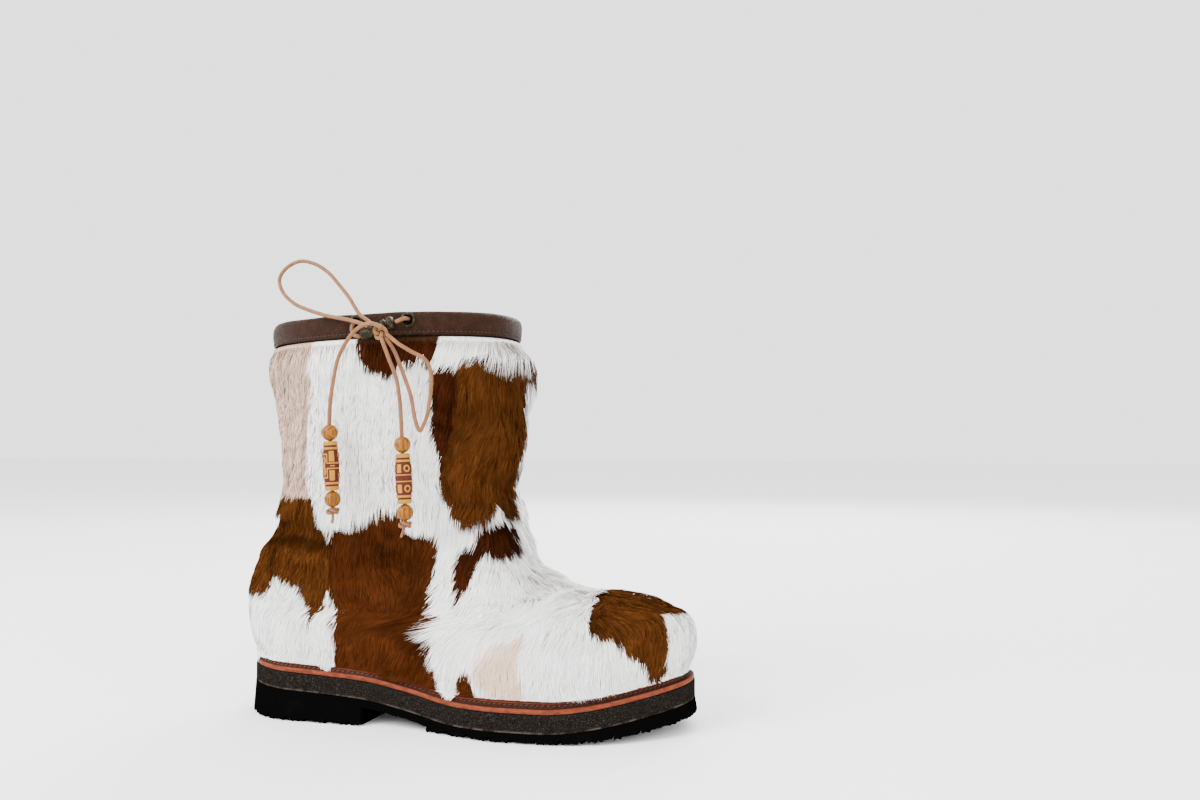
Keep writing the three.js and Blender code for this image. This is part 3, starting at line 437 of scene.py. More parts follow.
class Chart:
    """The hide's outer face as a dense grid, from which any place on it is read."""

    TURNS, ROWS = 480, 401

    def __init__(self):
        self.step = TOP_ROW / (self.ROWS - 1)
        turn, row = np.meshgrid(np.arange(self.TURNS) / self.TURNS, np.arange(self.ROWS) * self.step, indexing="ij")
        points = hide_points(turn, row)
        around = (np.roll(points, -1, 0) - np.roll(points, 1, 0)) * self.TURNS / 2
        up = np.gradient(points, self.step, axis=1)
        normals = unit(np.cross(around, up))
        seen = facing(points, normals) > 0.04
        self.seen_points, self.seen_at = points[seen], np.stack(photo_place(points[seen]), -1)
        self.seen_normals = normals[seen]
        relief, crease_shade = self.relief(points, row)
        off = pile(row) * UNDERFUR + relief
        self.grid = np.concatenate([points, normals, around, up, off[..., None], crease_shade[..., None]], -1)
        self.cell_area = np.linalg.norm(np.cross(around, up), axis=-1) * self.step / self.TURNS

    def shown_at(self, place):
        """Point and normal of the hide that show at a place in the photograph's frame."""
        nearest = np.argmin(np.sum((self.seen_at - np.array(place, float)) ** 2, axis=-1))
        return self.seen_points[nearest], self.seen_normals[nearest]

    def relief(self, points, row):
        """Height of the hide's unevenness, and how deep in a crease or seam each point lies; that depth also darkens
        the hair as painted shade.

        The creases and seams are mirrored on the inner side.
        """
        mirrored = points * np.array([1, -1, 1])
        total = SOFT_WAVE * noise(points, 38, 3) + 0.35 * noise(points, 15, 4)
        crease_shade = np.zeros(row.shape)
        for depth, width, places in CREASES:
            path = [self.shown_at(place)[0] for place in places]
            for side in (points, mirrored):
                least = np.full(row.shape, np.inf)
                for a, b in zip(path[:-1], path[1:]):
                    t = np.clip((side - a) @ (b - a) / ((b - a) @ (b - a)), 0, 1)
                    least = np.minimum(least, np.linalg.norm(side - a - t[..., None] * (b - a), axis=-1))
                near = np.exp(-((least / width) ** 2))
                total = total - depth * near
                crease_shade = np.maximum(crease_shade, near * depth)
        covered = np.clip(row / 1.5, 0, 1) * np.clip((PILE_TOP - row) / 0.6, 0, 1)
        return total * covered, crease_shade * covered

    def at(self, turn, row):
        """Points, normals, steps round and up, height of the skin and depth of crease, at turns and rows. The depth of
        crease darkens the hair as painted shade.
        """
        u = turn % 1 * self.TURNS
        i = np.floor(u).astype(int) % self.TURNS
        v = np.clip(row / self.step, 0, self.ROWS - 1.001)
        j = np.floor(v).astype(int)
        fu, fv = (u % 1)[..., None], (v % 1)[..., None]
        after = (i + 1) % self.TURNS
        low = mix(self.grid[i, j], self.grid[after, j], fu)
        found = mix(low, mix(self.grid[i, j + 1], self.grid[after, j + 1], fu), fv)
        return found[..., :3], unit(found[..., 3:6]), found[..., 6:9], found[..., 9:12], found[..., 12:13], found[..., 13]


chart = Chart()


# Meshes


def piece(name, points, faces, finish=None, smooth=True, sharp=None):
    """Object from points in the forms' millimetres and arrays of corner numbers."""
    mesh = bpy.data.meshes.new(name)
    places = (np.asarray(points, float).reshape(-1, 3) - (HEEL_CENTRE, 0, 0)) * MM
    corners = np.concatenate([f.ravel() for f in faces]).astype(np.int32)
    counts = np.concatenate([np.full(len(f), f.shape[1]) for f in faces])
    mesh.vertices.add(len(places))
    mesh.vertices.foreach_set("co", places.astype(np.float32).ravel())
    mesh.loops.add(len(corners))
    mesh.loops.foreach_set("vertex_index", corners)
    mesh.polygons.add(len(counts))
    mesh.polygons.foreach_set("loop_start", (np.cumsum(counts) - counts).astype(np.int32))
    mesh.update(calc_edges=True)
    if smooth:
        mesh.polygons.foreach_set("use_smooth", np.ones(len(counts), bool))
        if sharp:
            mesh.set_sharp_from_angle(angle=math.radians(sharp))
    if finish:
        mesh.materials.append(finish)
    made = bpy.data.objects.new("look_" + name, mesh)
    bpy.context.collection.objects.link(made)
    return made


def ring_faces(rings, around, closed=False):
    """Quads of rings of points, each ring joined to the next and, if closed, the last to the first."""
    r = np.arange(rings if closed else rings - 1)[:, None]
    i = np.arange(around)[None, :]
    j, n = (i + 1) % around, (r + 1) % rings
    return np.stack([r * around + i, r * around + j, n * around + j, n * around + i], -1).reshape(-1, 4)


def fan_faces(first, around, centre, flip=False):
    """Triangles from a ring to one point."""
    i = np.arange(around)
    pair = [first + (i + 1) % around, first + i]
    return np.stack([*(pair[::-1] if flip else pair), np.full(around, centre)], -1)


def strip_faces(first, around, flip=False):
    """Strips across a ring whose points mirror each other, so that a bent slab's face stays bent."""
    i = np.arange(1, around // 2 - 1)
    quads = np.stack([i, around - i, around - i - 1, i + 1], -1) + first
    ends = np.array([[0, around - 1, 1], [around // 2 - 1, around // 2 + 1, around // 2]]) + first
    return [quads[:, ::-1], ends[:, ::-1]] if flip else [quads, ends]


def lathe_points(profile_points, around, place):
    """Rings of a turned body from (radius, along) pairs. place turns (x, along, z) into the forms' frame."""
    angle = np.arange(around) / around * 2 * np.pi
    rings = [
        np.stack([r * np.sin(angle), np.full(around, a), r * np.cos(angle)], -1) for r, a in profile_points
    ]
    return place(np.concatenate(rings))


def axis_place(start, end):
    """Rule that lays a turned body from one point to another, its angle 0 towards the camera."""
    axis = unit(end - start)
    front = unit(CAMERA_BACK - axis * (CAMERA_BACK @ axis))
    side = np.cross(axis, front)
    return lambda p: start + p[:, :1] * side + p[:, 1:2] * axis + p[:, 2:] * front


def turned(name, start, end, profile_points, around, finish, sharp=40):
    """Turned body with closed ends, its profile in (radius, along) pairs."""
    pairs = [(1e-4, profile_points[0][1]), *profile_points, (1e-4, profile_points[-1][1])]
    points = lathe_points(pairs[1:-1], around, axis_place(start, end))
    tips = axis_place(start, end)(np.array([[0, pairs[0][1], 0], [0, pairs[-1][1], 0]], float))
    count = len(profile_points)
    faces = [
        ring_faces(count, around),
        fan_faces(0, around, count * around),
        fan_faces((count - 1) * around, around, count * around + 1, flip=True),
    ]
    return piece(name, np.concatenate([points, tips]), faces, finish, sharp=sharp)


def smooth_path(points, step):
    """Centripetal spline through points, with one point about every step."""
    p = np.array(points, float)
    p = np.concatenate([[2 * p[0] - p[1]], p, [2 * p[-1] - p[-2]]])
    found = []
    for a, b, c, d in zip(p, p[1:], p[2:], p[3:]):
        t0, t1, t2 = (np.linalg.norm(q - r) ** 0.5 for q, r in ((b, a), (c, b), (d, c)))
        m = ((b - a) / t0 - (c - a) / (t0 + t1) + (c - b) / t1) * t1
        n = ((c - b) / t1 - (d - b) / (t1 + t2) + (d - c) / t2) * t1
        t = np.arange(24)[:, None] / 24
        found.append(b + m * t + (3 * (c - b) - 2 * m - n) * t**2 + (m + n - 2 * (c - b)) * t**3)
    found = np.concatenate([*found, p[-2:-1]])
    length = np.append(0, np.cumsum(np.linalg.norm(np.diff(found, axis=0), axis=1)))
    even = np.linspace(0, length[-1], max(int(length[-1] / step), 3) + 1)
    return np.stack([np.interp(even, length, found[:, k]) for k in range(3)], -1)


def tube(name, path, radius, finish, sides=12, closed=False):
    """Round tube along a path, with domed ends unless it closes on itself."""
    path = np.asarray(path, float)
    ahead = unit(np.roll(path, -1, 0) - np.roll(path, 1, 0)) if closed else unit(np.gradient(path, axis=0))
    across = [unit(np.cross(ahead[0], [0.31, 0.52, 0.79]))]
    for direction in ahead[1:]:
        across.append(unit(across[-1] - direction * (across[-1] @ direction)))
    across = np.array(across)
    if closed:
        final = unit(across[-1] - ahead[0] * (across[-1] @ ahead[0]))
        twist = math.atan2(np.cross(final, across[0]) @ ahead[0], final @ across[0])
        angle = np.linspace(0, twist, len(path), endpoint=False)[:, None]
        across = across * np.cos(angle) + np.cross(ahead, across) * np.sin(angle)
    width = np.full(len(path), radius)
    if not closed:
        dome = radius * np.array([1, 0.8, 0.35])
        swell = radius * np.array([0.45, 0.75, 0.95])
        path = np.concatenate([path[0] - ahead[0] * dome[:, None], path, path[-1] + ahead[-1] * dome[::-1, None]])
        width = np.concatenate([swell, width, swell[::-1]])
        ahead = np.concatenate([ahead[:1].repeat(3, 0), ahead, ahead[-1:].repeat(3, 0)])
        across = np.concatenate([across[:1].repeat(3, 0), across, across[-1:].repeat(3, 0)])
    turn = np.arange(sides) / sides * 2 * np.pi
    round_ = across[:, None] * np.cos(turn)[:, None] + np.cross(ahead, across)[:, None] * np.sin(turn)[:, None]
    points = (path[:, None] + round_ * width[:, None, None]).reshape(-1, 3)
    faces = [ring_faces(len(path), sides, closed)]
    if not closed:
        ends = path[[0, -1]] + ahead[[0, -1]] * radius * np.array([[-0.1], [0.1]])
        points = np.concatenate([points, ends])
        last = (len(path) - 1) * sides
        faces += [fan_faces(0, sides, len(path) * sides), fan_faces(last, sides, len(path) * sides + 1, flip=True)]
    return piece(name, points, faces, finish)


def bake_down(made):
    """Applies an object's modifiers and leaves it a plain mesh."""
    evaluated = made.evaluated_get(bpy.context.evaluated_depsgraph_get())
    mesh = bpy.data.meshes.new_from_object(evaluated)
    made.modifiers.clear()
    made.data = mesh
    return made


def cut(made, cutter, sharp=30):
    """Takes a cutter's shape out of an object."""
    step = made.modifiers.new("cut", "BOOLEAN")
    step.operation, step.object, step.solver = "DIFFERENCE", cutter, "EXACT"
    bake_down(made)
    made.data.polygons.foreach_set("use_smooth", np.ones(len(made.data.polygons), bool))
    made.data.set_sharp_from_angle(angle=math.radians(sharp))
    bpy.data.objects.remove(cutter)
    return made


def box_points(low, high):
    """Corners and quads of a box."""
    (a, b, c), (d, e, f) = low, high
    points = [(a, b, c), (d, b, c), (d, e, c), (a, e, c), (a, b, f), (d, b, f), (d, e, f), (a, e, f)]
    quads = [[0, 3, 2, 1], [4, 5, 6, 7], [0, 1, 5, 4], [1, 2, 6, 5], [2, 3, 7, 6], [3, 0, 4, 7]]
    return np.array(points, float), np.array(quads)


def paint(made, name, values):
    """Number or colour for each point, for the finishes to read."""
    values = np.asarray(values, float)
    if values.ndim == 1:
        made.data.attributes.new(name, "FLOAT", "POINT").data.foreach_set("value", values)
    else:
        colours = np.concatenate([values, np.ones((len(values), 1))], -1)
        made.data.attributes.new(name, "FLOAT_COLOR", "POINT").data.foreach_set("color", colours.ravel())


def settle(made, slot, *nodes):
    """Ties a finished piece to the boot and to the solids that it stands for, which it hides. The slot is not used."""
    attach(made, "root")
    if nodes:
        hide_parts(*nodes)
    return made


# Finishes


class Wire:
    """A socket of a finish's tree, for sums written as plain arithmetic."""

    def __init__(self, finish, socket):
        self.finish, self.socket = finish, socket

    def _math(self, operation, first, second):
        return self.finish.node("ShaderNodeMath", {"operation": operation}, {0: first, 1: second})

    def __add__(self, other):
        return self._math("ADD", self, other)

    def __sub__(self, other):
        return self._math("SUBTRACT", self, other)

    def __rsub__(self, other):
        return self._math("SUBTRACT", other, self)

    def __mul__(self, other):
        return self._math("MULTIPLY", self, other)

    __radd__ = __add__
    __rmul__ = __mul__

    def between(self, low, high):
        """0 below low, 1 above high and a smooth rise between."""
        settings = {"interpolation_type": "SMOOTHSTEP"}
        return self.finish.node("ShaderNodeMapRange", settings, {"Value": self, "From Min": low, "From Max": high})


class Finish:
    """A material and the tree of its nodes."""

    def __init__(self, name):
        self.material = bpy.data.materials.new(name)
        self.material.use_nodes = True
        self.tree = self.material.node_tree
        self.tree.nodes.clear()

    def node(self, kind, settings=None, sockets=None, out=0):
        made = self.tree.nodes.new(kind)
        for name, value in (settings or {}).items():
            if name == "stops":
                for number, (at, colour) in enumerate(value):
                    stops = made.color_ramp.elements
                    stop = stops[number] if number < 2 else stops.new(at)
                    stop.position, stop.color = at, (*colour, 1)
            else:
                setattr(made, name, value)
        for name, value in (sockets or {}).items():
            if isinstance(value, Wire):
                self.tree.links.new(value.socket, made.inputs[name])
            else:
                made.inputs[name].default_value = value
        return Wire(self, made.outputs[out]) if made.outputs else made

    def attribute(self, name, number=True):
        return self.node("ShaderNodeAttribute", {"attribute_name": name}, out=2 if number else 0)

    def grain(self, size, stretch=(1, 1, 1), detail=3.0, rough=0.55):
        """Noise over the piece, its lumps of that size in millimetres."""
        place = self.node("ShaderNodeTexCoord", out=3)
        place = self.node("ShaderNodeMapping", None, {"Vector": place, "Scale": stretch})
        sockets = {"Vector": place, "Scale": 1 / (size * MM), "Detail": detail, "Roughness": rough}
        return self.node("ShaderNodeTexNoise", None, sockets)

    def mix(self, factor, a, b, blend="MIX"):
        colours = {6: a if isinstance(a, Wire) else (*a, 1), 7: b if isinstance(b, Wire) else (*b, 1)}
        return self.node("ShaderNodeMix", {"data_type": "RGBA", "blend_type": blend}, {0: factor, **colours}, out=2)

    def bump(self, height, depth, strength=1.0):
        return self.node("ShaderNodeBump", None, {"Height": height, "Distance": depth * MM, "Strength": strength})

    def surface(self, colour, roughness, normal=None, **constants):
        sockets = {"Base Color": colour if isinstance(colour, Wire) else (*colour, 1), "Roughness": roughness}
        if normal:
            sockets["Normal"] = normal
        for name, value in constants.items():
            sockets[name.replace("_", " ")] = value
        shader = self.node("ShaderNodeBsdfPrincipled", None, sockets)
        self.node("ShaderNodeOutputMaterial", None, {"Surface": shader})
        return self.material


def linear(code):
    """Linear colour from a screen colour written as six hexadecimal figures."""
    values = [int(code[k : k + 2], 16) / 255 for k in (0, 2, 4)]
    return tuple(v / 12.92 if v <= 0.04045 else ((v + 0.055) / 1.055) ** 2.4 for v in values)


def shade(colour, share):
    return tuple(min(c * share, 0.92) for c in colour)


def cord_finish(colours):
    f = Finish("smooth_tan_cord")
    tone = f.mix(f.grain(3, (1, 1, 0.4)).between(0.35, 0.7), shade(colours.cord, 0.8), shade(colours.cord, 1.12))
    fibre = f.grain(0.35, (1, 1, 0.3))
    return f.surface(tone, 0.46, f.bump(fibre, 0.05), Specular_IOR_Level=0.15)


def brass_finish(colours):
    f = Finish("antique_brass")
    worn = f.grain(2.2).between(0.5, 0.72)
    tone = f.mix(worn, shade(colours.brass, 0.3), colours.brass)
    rough = 0.5 - worn * 0.2
    return f.surface(tone, rough, f.bump(f.grain(0.8), 0.06), Metallic=0.9)


def round_bead_finish(colours):
    f = Finish("turned_golden_bead")
    streak = f.grain(1.1, (1, 1, 0.06), 1.0)
    tone = f.mix(streak.between(0.4, 0.56), shade(colours.bead, 0.55), shade(colours.bead, 1.1))
    return f.surface(tone, 0.34, f.bump(streak, 0.14), Specular_IOR_Level=0.12, Coat_Weight=0.06, Coat_Roughness=0.15)


def carved_bead_finish(colours):
    f = Finish("carved_golden_bead")
    sunk = f.attribute("sunk")
    gold = f.mix(f.grain(1.2, (1, 1, 0.4)).between(0.35, 0.7), shade(colours.carved_bead, 0.8), colours.carved_bead)
    tone = f.mix(sunk.between(0.25, 0.7), gold, colours.bead_groove)
    return f.surface(tone, 0.3 + sunk * 0.25, Specular_IOR_Level=0.12, Coat_Weight=0.05, Coat_Roughness=0.2)


def band_finish(colours):
    f = Finish("soft_band_leather")
    pebble = f.node("ShaderNodeTexVoronoi", {"feature": "DISTANCE_TO_EDGE"}, {
        "Vector": f.node("ShaderNodeTexCoord", out=3), "Scale": 1 / (1.15 * MM), "Randomness": 1.0,
    })
    rise = pebble.between(0.0, 0.3) * 0.6 + f.grain(0.5) * 0.5 + f.grain(5) * 0.6
    tone = f.mix(f.grain(6).between(0.35, 0.7), shade(colours.band, 0.82), shade(colours.band, 1.25))
    # Painted shade: the pebbles' edges are darker, for the shade in the crevices between them
    tone = f.mix(pebble.between(0.0, 0.12), shade(colours.band, 0.6), tone)
    return f.surface(tone, 0.46 - f.grain(4) * 0.2, f.bump(rise, 0.55), Specular_IOR_Level=0.03)


def thread_finish(name, colour):
    f = Finish(name)
    return f.surface(colour, 0.7, f.bump(f.grain(0.3), 0.05))


def welt_finish(colours):
    f = Finish("welt_leather")
    groove = f.attribute("groove")
    tan = f.mix(f.grain(2.5, (0.5, 0.5, 1)).between(0.3, 0.72), shade(colours.welt, 0.62), shade(colours.welt, 1.15))
    # Painted shade: the stitch channel and the faces against the upper take the darker channel colour
    deep = f.mix(f.grain(1.1).between(0.35, 0.65), shade(colours.welt_channel_shade, 0.6), shade(colours.welt_channel_shade, 1.4))
    return f.surface(f.mix(groove, tan, deep), 0.58 + groove * 0.2, f.bump(f.grain(0.7), 0.16), Specular_IOR_Level=0.05)


def midsole_finish(colours):
    f = Finish("speckled_midsole")
    speck = f.grain(0.75, detail=1.0).between(0.56, 0.7)
    dark = f.grain(1.0, (1, 1, 1.3), 2.0).between(0.4, 0.62)
    tone = f.mix(dark, shade(colours.midsole, 0.5), shade(colours.midsole, 1.15))
    tone = f.mix(speck * 0.4, tone, colours.midsole_speck)
    tone = f.mix(f.attribute("edge") * f.grain(9, (1, 1, 0.2)).between(0.4, 0.6) * 0.7, tone, colours.midsole_speck)
    return f.surface(tone, 0.88, f.bump(f.grain(0.8) + f.grain(3) * 0.5, 0.35), Specular_IOR_Level=0.0)


def rubber_finish(colours):
    f = Finish("black_rubber")
    dust = f.grain(14).between(0.55, 0.8) * 0.35
    tone = f.mix(dust, colours.rubber, shade(colours.rubber, 2.6))
    return f.surface(tone, 0.55 + f.grain(3) * 0.2, f.bump(f.grain(0.6), 0.08), Specular_IOR_Level=0.0)


def board_finish(colours):
    f = Finish("insole_board")
    tone = f.mix(f.grain(7).between(0.3, 0.7), shade(colours.board, 0.85), shade(colours.board, 1.1))
    return f.surface(tone, 0.75, f.bump(f.grain(0.6), 0.06))


def skin_finish():
    f = Finish("skin_under_the_hair")
    fibre = f.grain(0.9, (1, 1, 0.25))
    # Painted shade: fibre noise darkens the skin in streaks, for the shade between the hairs
    tone = f.mix(fibre.between(0.3, 0.7) * 0.45, f.attribute("hide", number=False), (0.03, 0.02, 0.014))
    return f.surface(tone, 0.9, f.bump(fibre, 0.5), Specular_IOR_Level=0.0)


def lining_finish(colours):
    f = Finish("fleece_lining")
    curl = f.grain(2.4)
    tone = f.mix(curl.between(0.35, 0.65), shade(colours.lining, 0.6), colours.lining)
    return f.surface(tone, 0.95, f.bump(curl + f.grain(0.8) * 0.4, 1.2))


# Share of each hair colour at its darkest and lightest
HAIRS = [
    ("white", 0.84, 1.04),
    ("beige", 0.7, 1.2),
    ("golden", 0.3, 1.8),
    ("dark", 0.25, 1.9),
    ("brown", 0.3, 1.8),
    ("peach", 0.8, 1.12),
    ("tan", 0.45, 1.5),
]
HAIR_NAMES = [name for name, _, _ in HAIRS]


def hair_colour(colours, name):
    return tuple(getattr(colours, "hair_" + name))


def hair_finish(colours):
    """Hair reads its colour across its map, and the shade at its root along it."""
    f = Finish("hair")
    place = f.node("ShaderNodeUVMap", {"uv_map": "OFBake"})
    split = f.node("ShaderNodeSeparateXYZ", None, {0: place})
    along = Wire(f, split.socket.node.outputs[1])
    stops = []
    for number, (name, dark, light) in enumerate(HAIRS):
        colour = hair_colour(colours, name)
        stops.append(((number + 0.004) / len(HAIRS), shade(colour, dark)))
        stops.append(((number + 0.996) / len(HAIRS), shade(colour, light)))
    tone = f.node("ShaderNodeValToRGB", {"stops": [stops[0], stops[-1], *stops[1:-1]]}, {0: split})
    tone = f.mix(1 - along.between(0.0, 0.6), tone, (0.62, 0.55, 0.5), "MULTIPLY")
    return f.surface(tone, 0.6, Specular_IOR_Level=0.0)


# Cord, knots, lock and beads


BOW_SPAN = 100


def cord_point(at):
    along, out, up = at
    x = EYELET_MIDDLE + along * BOW_SPAN
    return np.array([x, -COLLAR_WIDTH / 2 - out * BOW_SPAN, collar_edge(EYELET_MIDDLE) + up * BOW_SPAN])


DRAW_CORDS = {
    "draw_cord_front": [(0.164, -0.014, -0.041), (0.162, 0.03, -0.043), (0.152, 0.062, -0.053), (0.129, 0.076, -0.066)],
    "draw_cord_back": [
        (-0.157, 0.02, -0.057), (-0.161, 0.058, -0.068), (-0.163, 0.08, -0.102),
        (-0.146, 0.083, -0.14), (-0.112, 0.081, -0.151),
    ],
}
BOW_LOOPS = {
    "bow_loop_upper": [
        (-0.004, 0.136, -0.086), (-0.04, 0.106, -0.063), (-0.132, 0.044, -0.008), (-0.215, 0.02, 0.099),
        (-0.295, -0.002, 0.184), (-0.373, -0.018, 0.26), (-0.476, -0.029, 0.322), (-0.585, -0.034, 0.343),
        (-0.679, -0.03, 0.298), (-0.712, -0.018, 0.233), (-0.677, 0, 0.149), (-0.585, 0.02, 0.071),
        (-0.482, 0.034, 0.027), (-0.355, 0.044, -0.012), (-0.194, 0.084, -0.046), (-0.094, 0.14, -0.072),
        (-0.024, 0.168, -0.096),
    ],
    "bow_loop_lower": [
        (0.095, 0.14, -0.175), (0.131, 0.12, -0.238), (0.181, 0.104, -0.366), (0.234, 0.096, -0.518),
        (0.259, 0.092, -0.651), (0.289, 0.09, -0.722), (0.318, 0.092, -0.676), (0.338, 0.094, -0.626),
        (0.35, 0.096, -0.556), (0.364, 0.1, -0.467), (0.362, 0.106, -0.369), (0.331, 0.116, -0.301),
        (0.242, 0.134, -0.249), (0.168, 0.148, -0.202), (0.11, 0.154, -0.154),
    ],
}
CORD_ENDS = {
    "back": [
        (0.075, 0.188, -0.107), (0.021, 0.198, -0.087), (-0.048, 0.192, -0.104), (-0.137, 0.164, -0.167),
        (-0.222, 0.134, -0.285), (-0.264, 0.118, -0.437), (-0.282, 0.112, -0.533), (-0.289, 0.11, -0.678),
    ],
    "front": [
        (0.075, 0.164, -0.178), (0.116, 0.154, -0.291), (0.153, 0.13, -0.405), (0.172, 0.118, -0.538),
        (0.185, 0.112, -0.75),
    ],
}
STRINGS = {
    "back": ((-0.289, 0.11, -0.681), (-0.262, 0.11, -1.142)),
    "front": ((0.186, 0.112, -0.753), (0.21, 0.112, -1.212)),
}
BOW_CENTRE = (0.059, 0.15, -0.135)
BOW_RADIUS = 2.6
END_KNOT_RADIUS = 2.3
END_KNOT_TUBE = 0.85
TAIL = 7
LOCK_BACK, LOCK_FRONT = (-0.099, 0.08, -0.146), (0.118, 0.08, -0.07)


def trefoil(radius, count):
    """Loop of a trefoil knot that winds round an upright axis."""
    u = np.arange(count) / count * 4 * np.pi
    reach = radius * (2 + np.cos(1.5 * u)) / 2
    flat = np.stack([reach * np.cos(u), reach * np.sin(u), radius * np.sin(1.5 * u) / 2], -1)
    return flat[:, [0, 2, 1]] * (1, -1, 1)


def tie_cord(colours):
    finish = cord_finish(colours)
    radius = CORD_DIAMETER / 2
    for name, points in DRAW_CORDS.items():
        path = smooth_path([cord_point(p) for p in points], 1)
        settle(tube(name, path, radius, finish), "cord", name)
    for name, points in BOW_LOOPS.items():
        made, path = free_cord(name, [cord_point(p) for p in points], finish)
        settle(made, "cord", name)
    knot = tube("bow_knot", cord_point(BOW_CENTRE) + trefoil(BOW_RADIUS, 140), radius - 0.05, finish, 12, closed=True)
    settle(knot, "cord", "bow_knot")


def free_cord(name, points, finish):
    path = smooth_path(points, 1.2)
    return tube(name, path, CORD_DIAMETER / 2, finish), path


LOCK_PROFILE = [
    (0, 0.5), (0.02, 0.68), (0.06, 0.84), (0.14, 0.94), (0.2, 0.97), (0.3, 0.95), (0.45, 0.97), (0.53, 0.95),
    (0.56, 0.84), (0.58, 0.66), (0.605, 0.64), (0.62, 0.8), (0.65, 0.95), (0.69, 1.0), (0.73, 0.97), (0.765, 0.82),
    (0.78, 0.64), (0.8, 0.64), (0.815, 0.82), (0.85, 1.0), (0.89, 1.04), (0.93, 1.0), (0.965, 0.84), (0.98, 0.6),
    (0.985, 0.42),
]


def set_hardware(colours):
    finish = brass_finish(colours)
    start, end = cord_point(LOCK_BACK), cord_point(LOCK_FRONT)
    length = np.linalg.norm(end - start)
    pairs = [(wide * LOCK_DIAMETER / 2, along * length) for along, wide in LOCK_PROFILE]
    settle(turned("cord_lock", start, end, pairs, 32, finish), "antique_brass", "cord_lock")
    for name, x in EYELETS.items():
        place = eyelet_place(x)
        made = piece(name, *eyelet_rings(place), finish, sharp=50)
        settle(made, "antique_brass", name)


EYELETS = {
    "eyelet_back": EYELET_MIDDLE - EYELET_SPACING / 2,
    "eyelet_front": EYELET_MIDDLE + EYELET_SPACING / 2,
}
BAND_FACE = GAP + BAND_LEATHER


def collar_points(turn, offset, drop):
    """Points of the collar, moved out from the hide and down from the collar's edge."""
    row = np.full_like(turn, TOP_ROW)
    p = hide_points(turn, row)
    d = hide_points(turn + TURN_STEP, row) - hide_points(turn - TURN_STEP, row)
    d[..., 2] = 0
    d = unit(d)
    z = collar_edge(p[..., 0]) - drop
    return np.stack([p[..., 0] + d[..., 1] * offset, p[..., 1] - d[..., 0] * offset, z], -1)


def eyelet_place(x):
    """Rule that seats a turned body on the collar's outer side, its axis pointing out."""
    share = (x - COLLAR_BACK) / COLLAR_LENGTH
    turn = np.array([math.acos(1 - 2 * share) / (2 * math.pi)])
    base = collar_points(turn, 0, EYELET_DROP)[0]
    out = collar_points(turn, 1, EYELET_DROP)[0] - base
    out[2] = 0
    out = unit(out)
    along = np.array([out[1], -out[0], 0])
    return lambda p: base + p[:, :1] * along + p[:, 1:2] * out + p[:, 2:] * (0, 0, 1)


def eyelet_rings(place, around=40):
    seat = BAND_FACE + BAND_BULGE + 0.1
    top = EYELET_FLANGE
    pairs = [
        (EYELET_BORE, GAP), (EYELET_BARREL, GAP), (EYELET_BARREL, seat), (EYELET_RADIUS - 0.1, seat - 0.1),
        (EYELET_RADIUS, seat + top * 0.3), (EYELET_RADIUS - 0.25, seat + top * 0.7),
        (EYELET_RADIUS - 0.7, seat + top), (EYELET_BORE + 0.7, seat + top), (EYELET_BORE + 0.2, seat + top * 0.75),
        (EYELET_BORE, seat + top * 0.3),
    ]
    return lathe_points(pairs, around, place), [ring_faces(len(pairs), around, closed=True)]


def string_beads(colours):
    round_finish, carved_finish = round_bead_finish(colours), carved_bead_finish(colours)
    thong = bpy.data.materials["smooth_tan_cord"]
    for end, (start, stop) in STRINGS.items():
        start, stop = cord_point(start), cord_point(stop)
        axis = unit(stop - start)
        reach = ROUND_BEAD + GAP
        beads = [
            round_bead(f"bead_{end}_top", start, axis, round_finish),
            barrel_bead(f"bead_{end}_barrel", start + axis * reach, axis, end, carved_finish),
            round_bead(f"bead_{end}_low", start + axis * (reach + BARREL_LENGTH + GAP), axis, round_finish),
        ]
        knot_at = start + axis * (2 * reach + BARREL_LENGTH + GAP)
        beads.append(end_knot(f"end_knot_{end}", knot_at, axis, thong))
        parts = (f"bead_{end}_top", f"bead_{end}_barrel", f"bead_{end}_low", f"end_knot_{end}")
        for bead, slot, node in zip(beads, ("round_bead", "carved_bead", "round_bead", "cord"), parts):
            settle(bead, slot, node)
        route = [cord_point(p) for p in CORD_ENDS[end]] + [start + axis * 12, start + axis * 30, knot_at + axis]
        made, path = free_cord(f"cord_end_{end}", route, thong)
        settle(made, "cord", f"cord_end_{end}")


def round_bead(name, start, axis, finish):
    radius = ROUND_BEAD / 2
    steps = np.linspace(0.26, np.pi - 0.26, 24)
    pairs = [(0.72, 0.75), *((radius * math.sin(a), radius * (1 - math.cos(a))) for a in steps), (0.72, ROUND_BEAD - 0.75)]
    return turned(name, start, start + axis, pairs, 48, finish)


def end_knot(name, start, axis, finish):
    """Small knot under the beads, with the cord's cut tail."""
    place = axis_place(start, start + axis)
    loop = trefoil(END_KNOT_RADIUS, 110) * (1, -1, 1)
    loop = place(loop + (0, END_KNOT_RADIUS / 2 + END_KNOT_TUBE, 0))
    made = tube(name, loop, END_KNOT_TUBE * 1.12, finish, 10, closed=True)
    lean = 0.5 if name.endswith("front") else 0.12
    tail = [place(np.array([[lean * t * 0.8, 1.6 + t, 0.2 * math.sin(t)]]))[0] for t in np.linspace(0, TAIL, 9)]
    end = tube(name + "_tail", tail, END_KNOT_TUBE * 0.95, finish, 10)
    return join([made, end])


def join(parts):
    """Makes one object of several."""
    with bpy.context.temp_override(active_object=parts[0], selected_editable_objects=parts):
        bpy.ops.object.join()
    return parts[0]


BARREL_PROFILE = [(0, 0.6), (0.012, 0.74), (0.03, 0.8), (0.25, 0.94), (0.5, 1), (0.75, 0.94), (0.97, 0.8), (0.988, 0.74), (1, 0.6)]
CARVING_DEPTH = 0.42
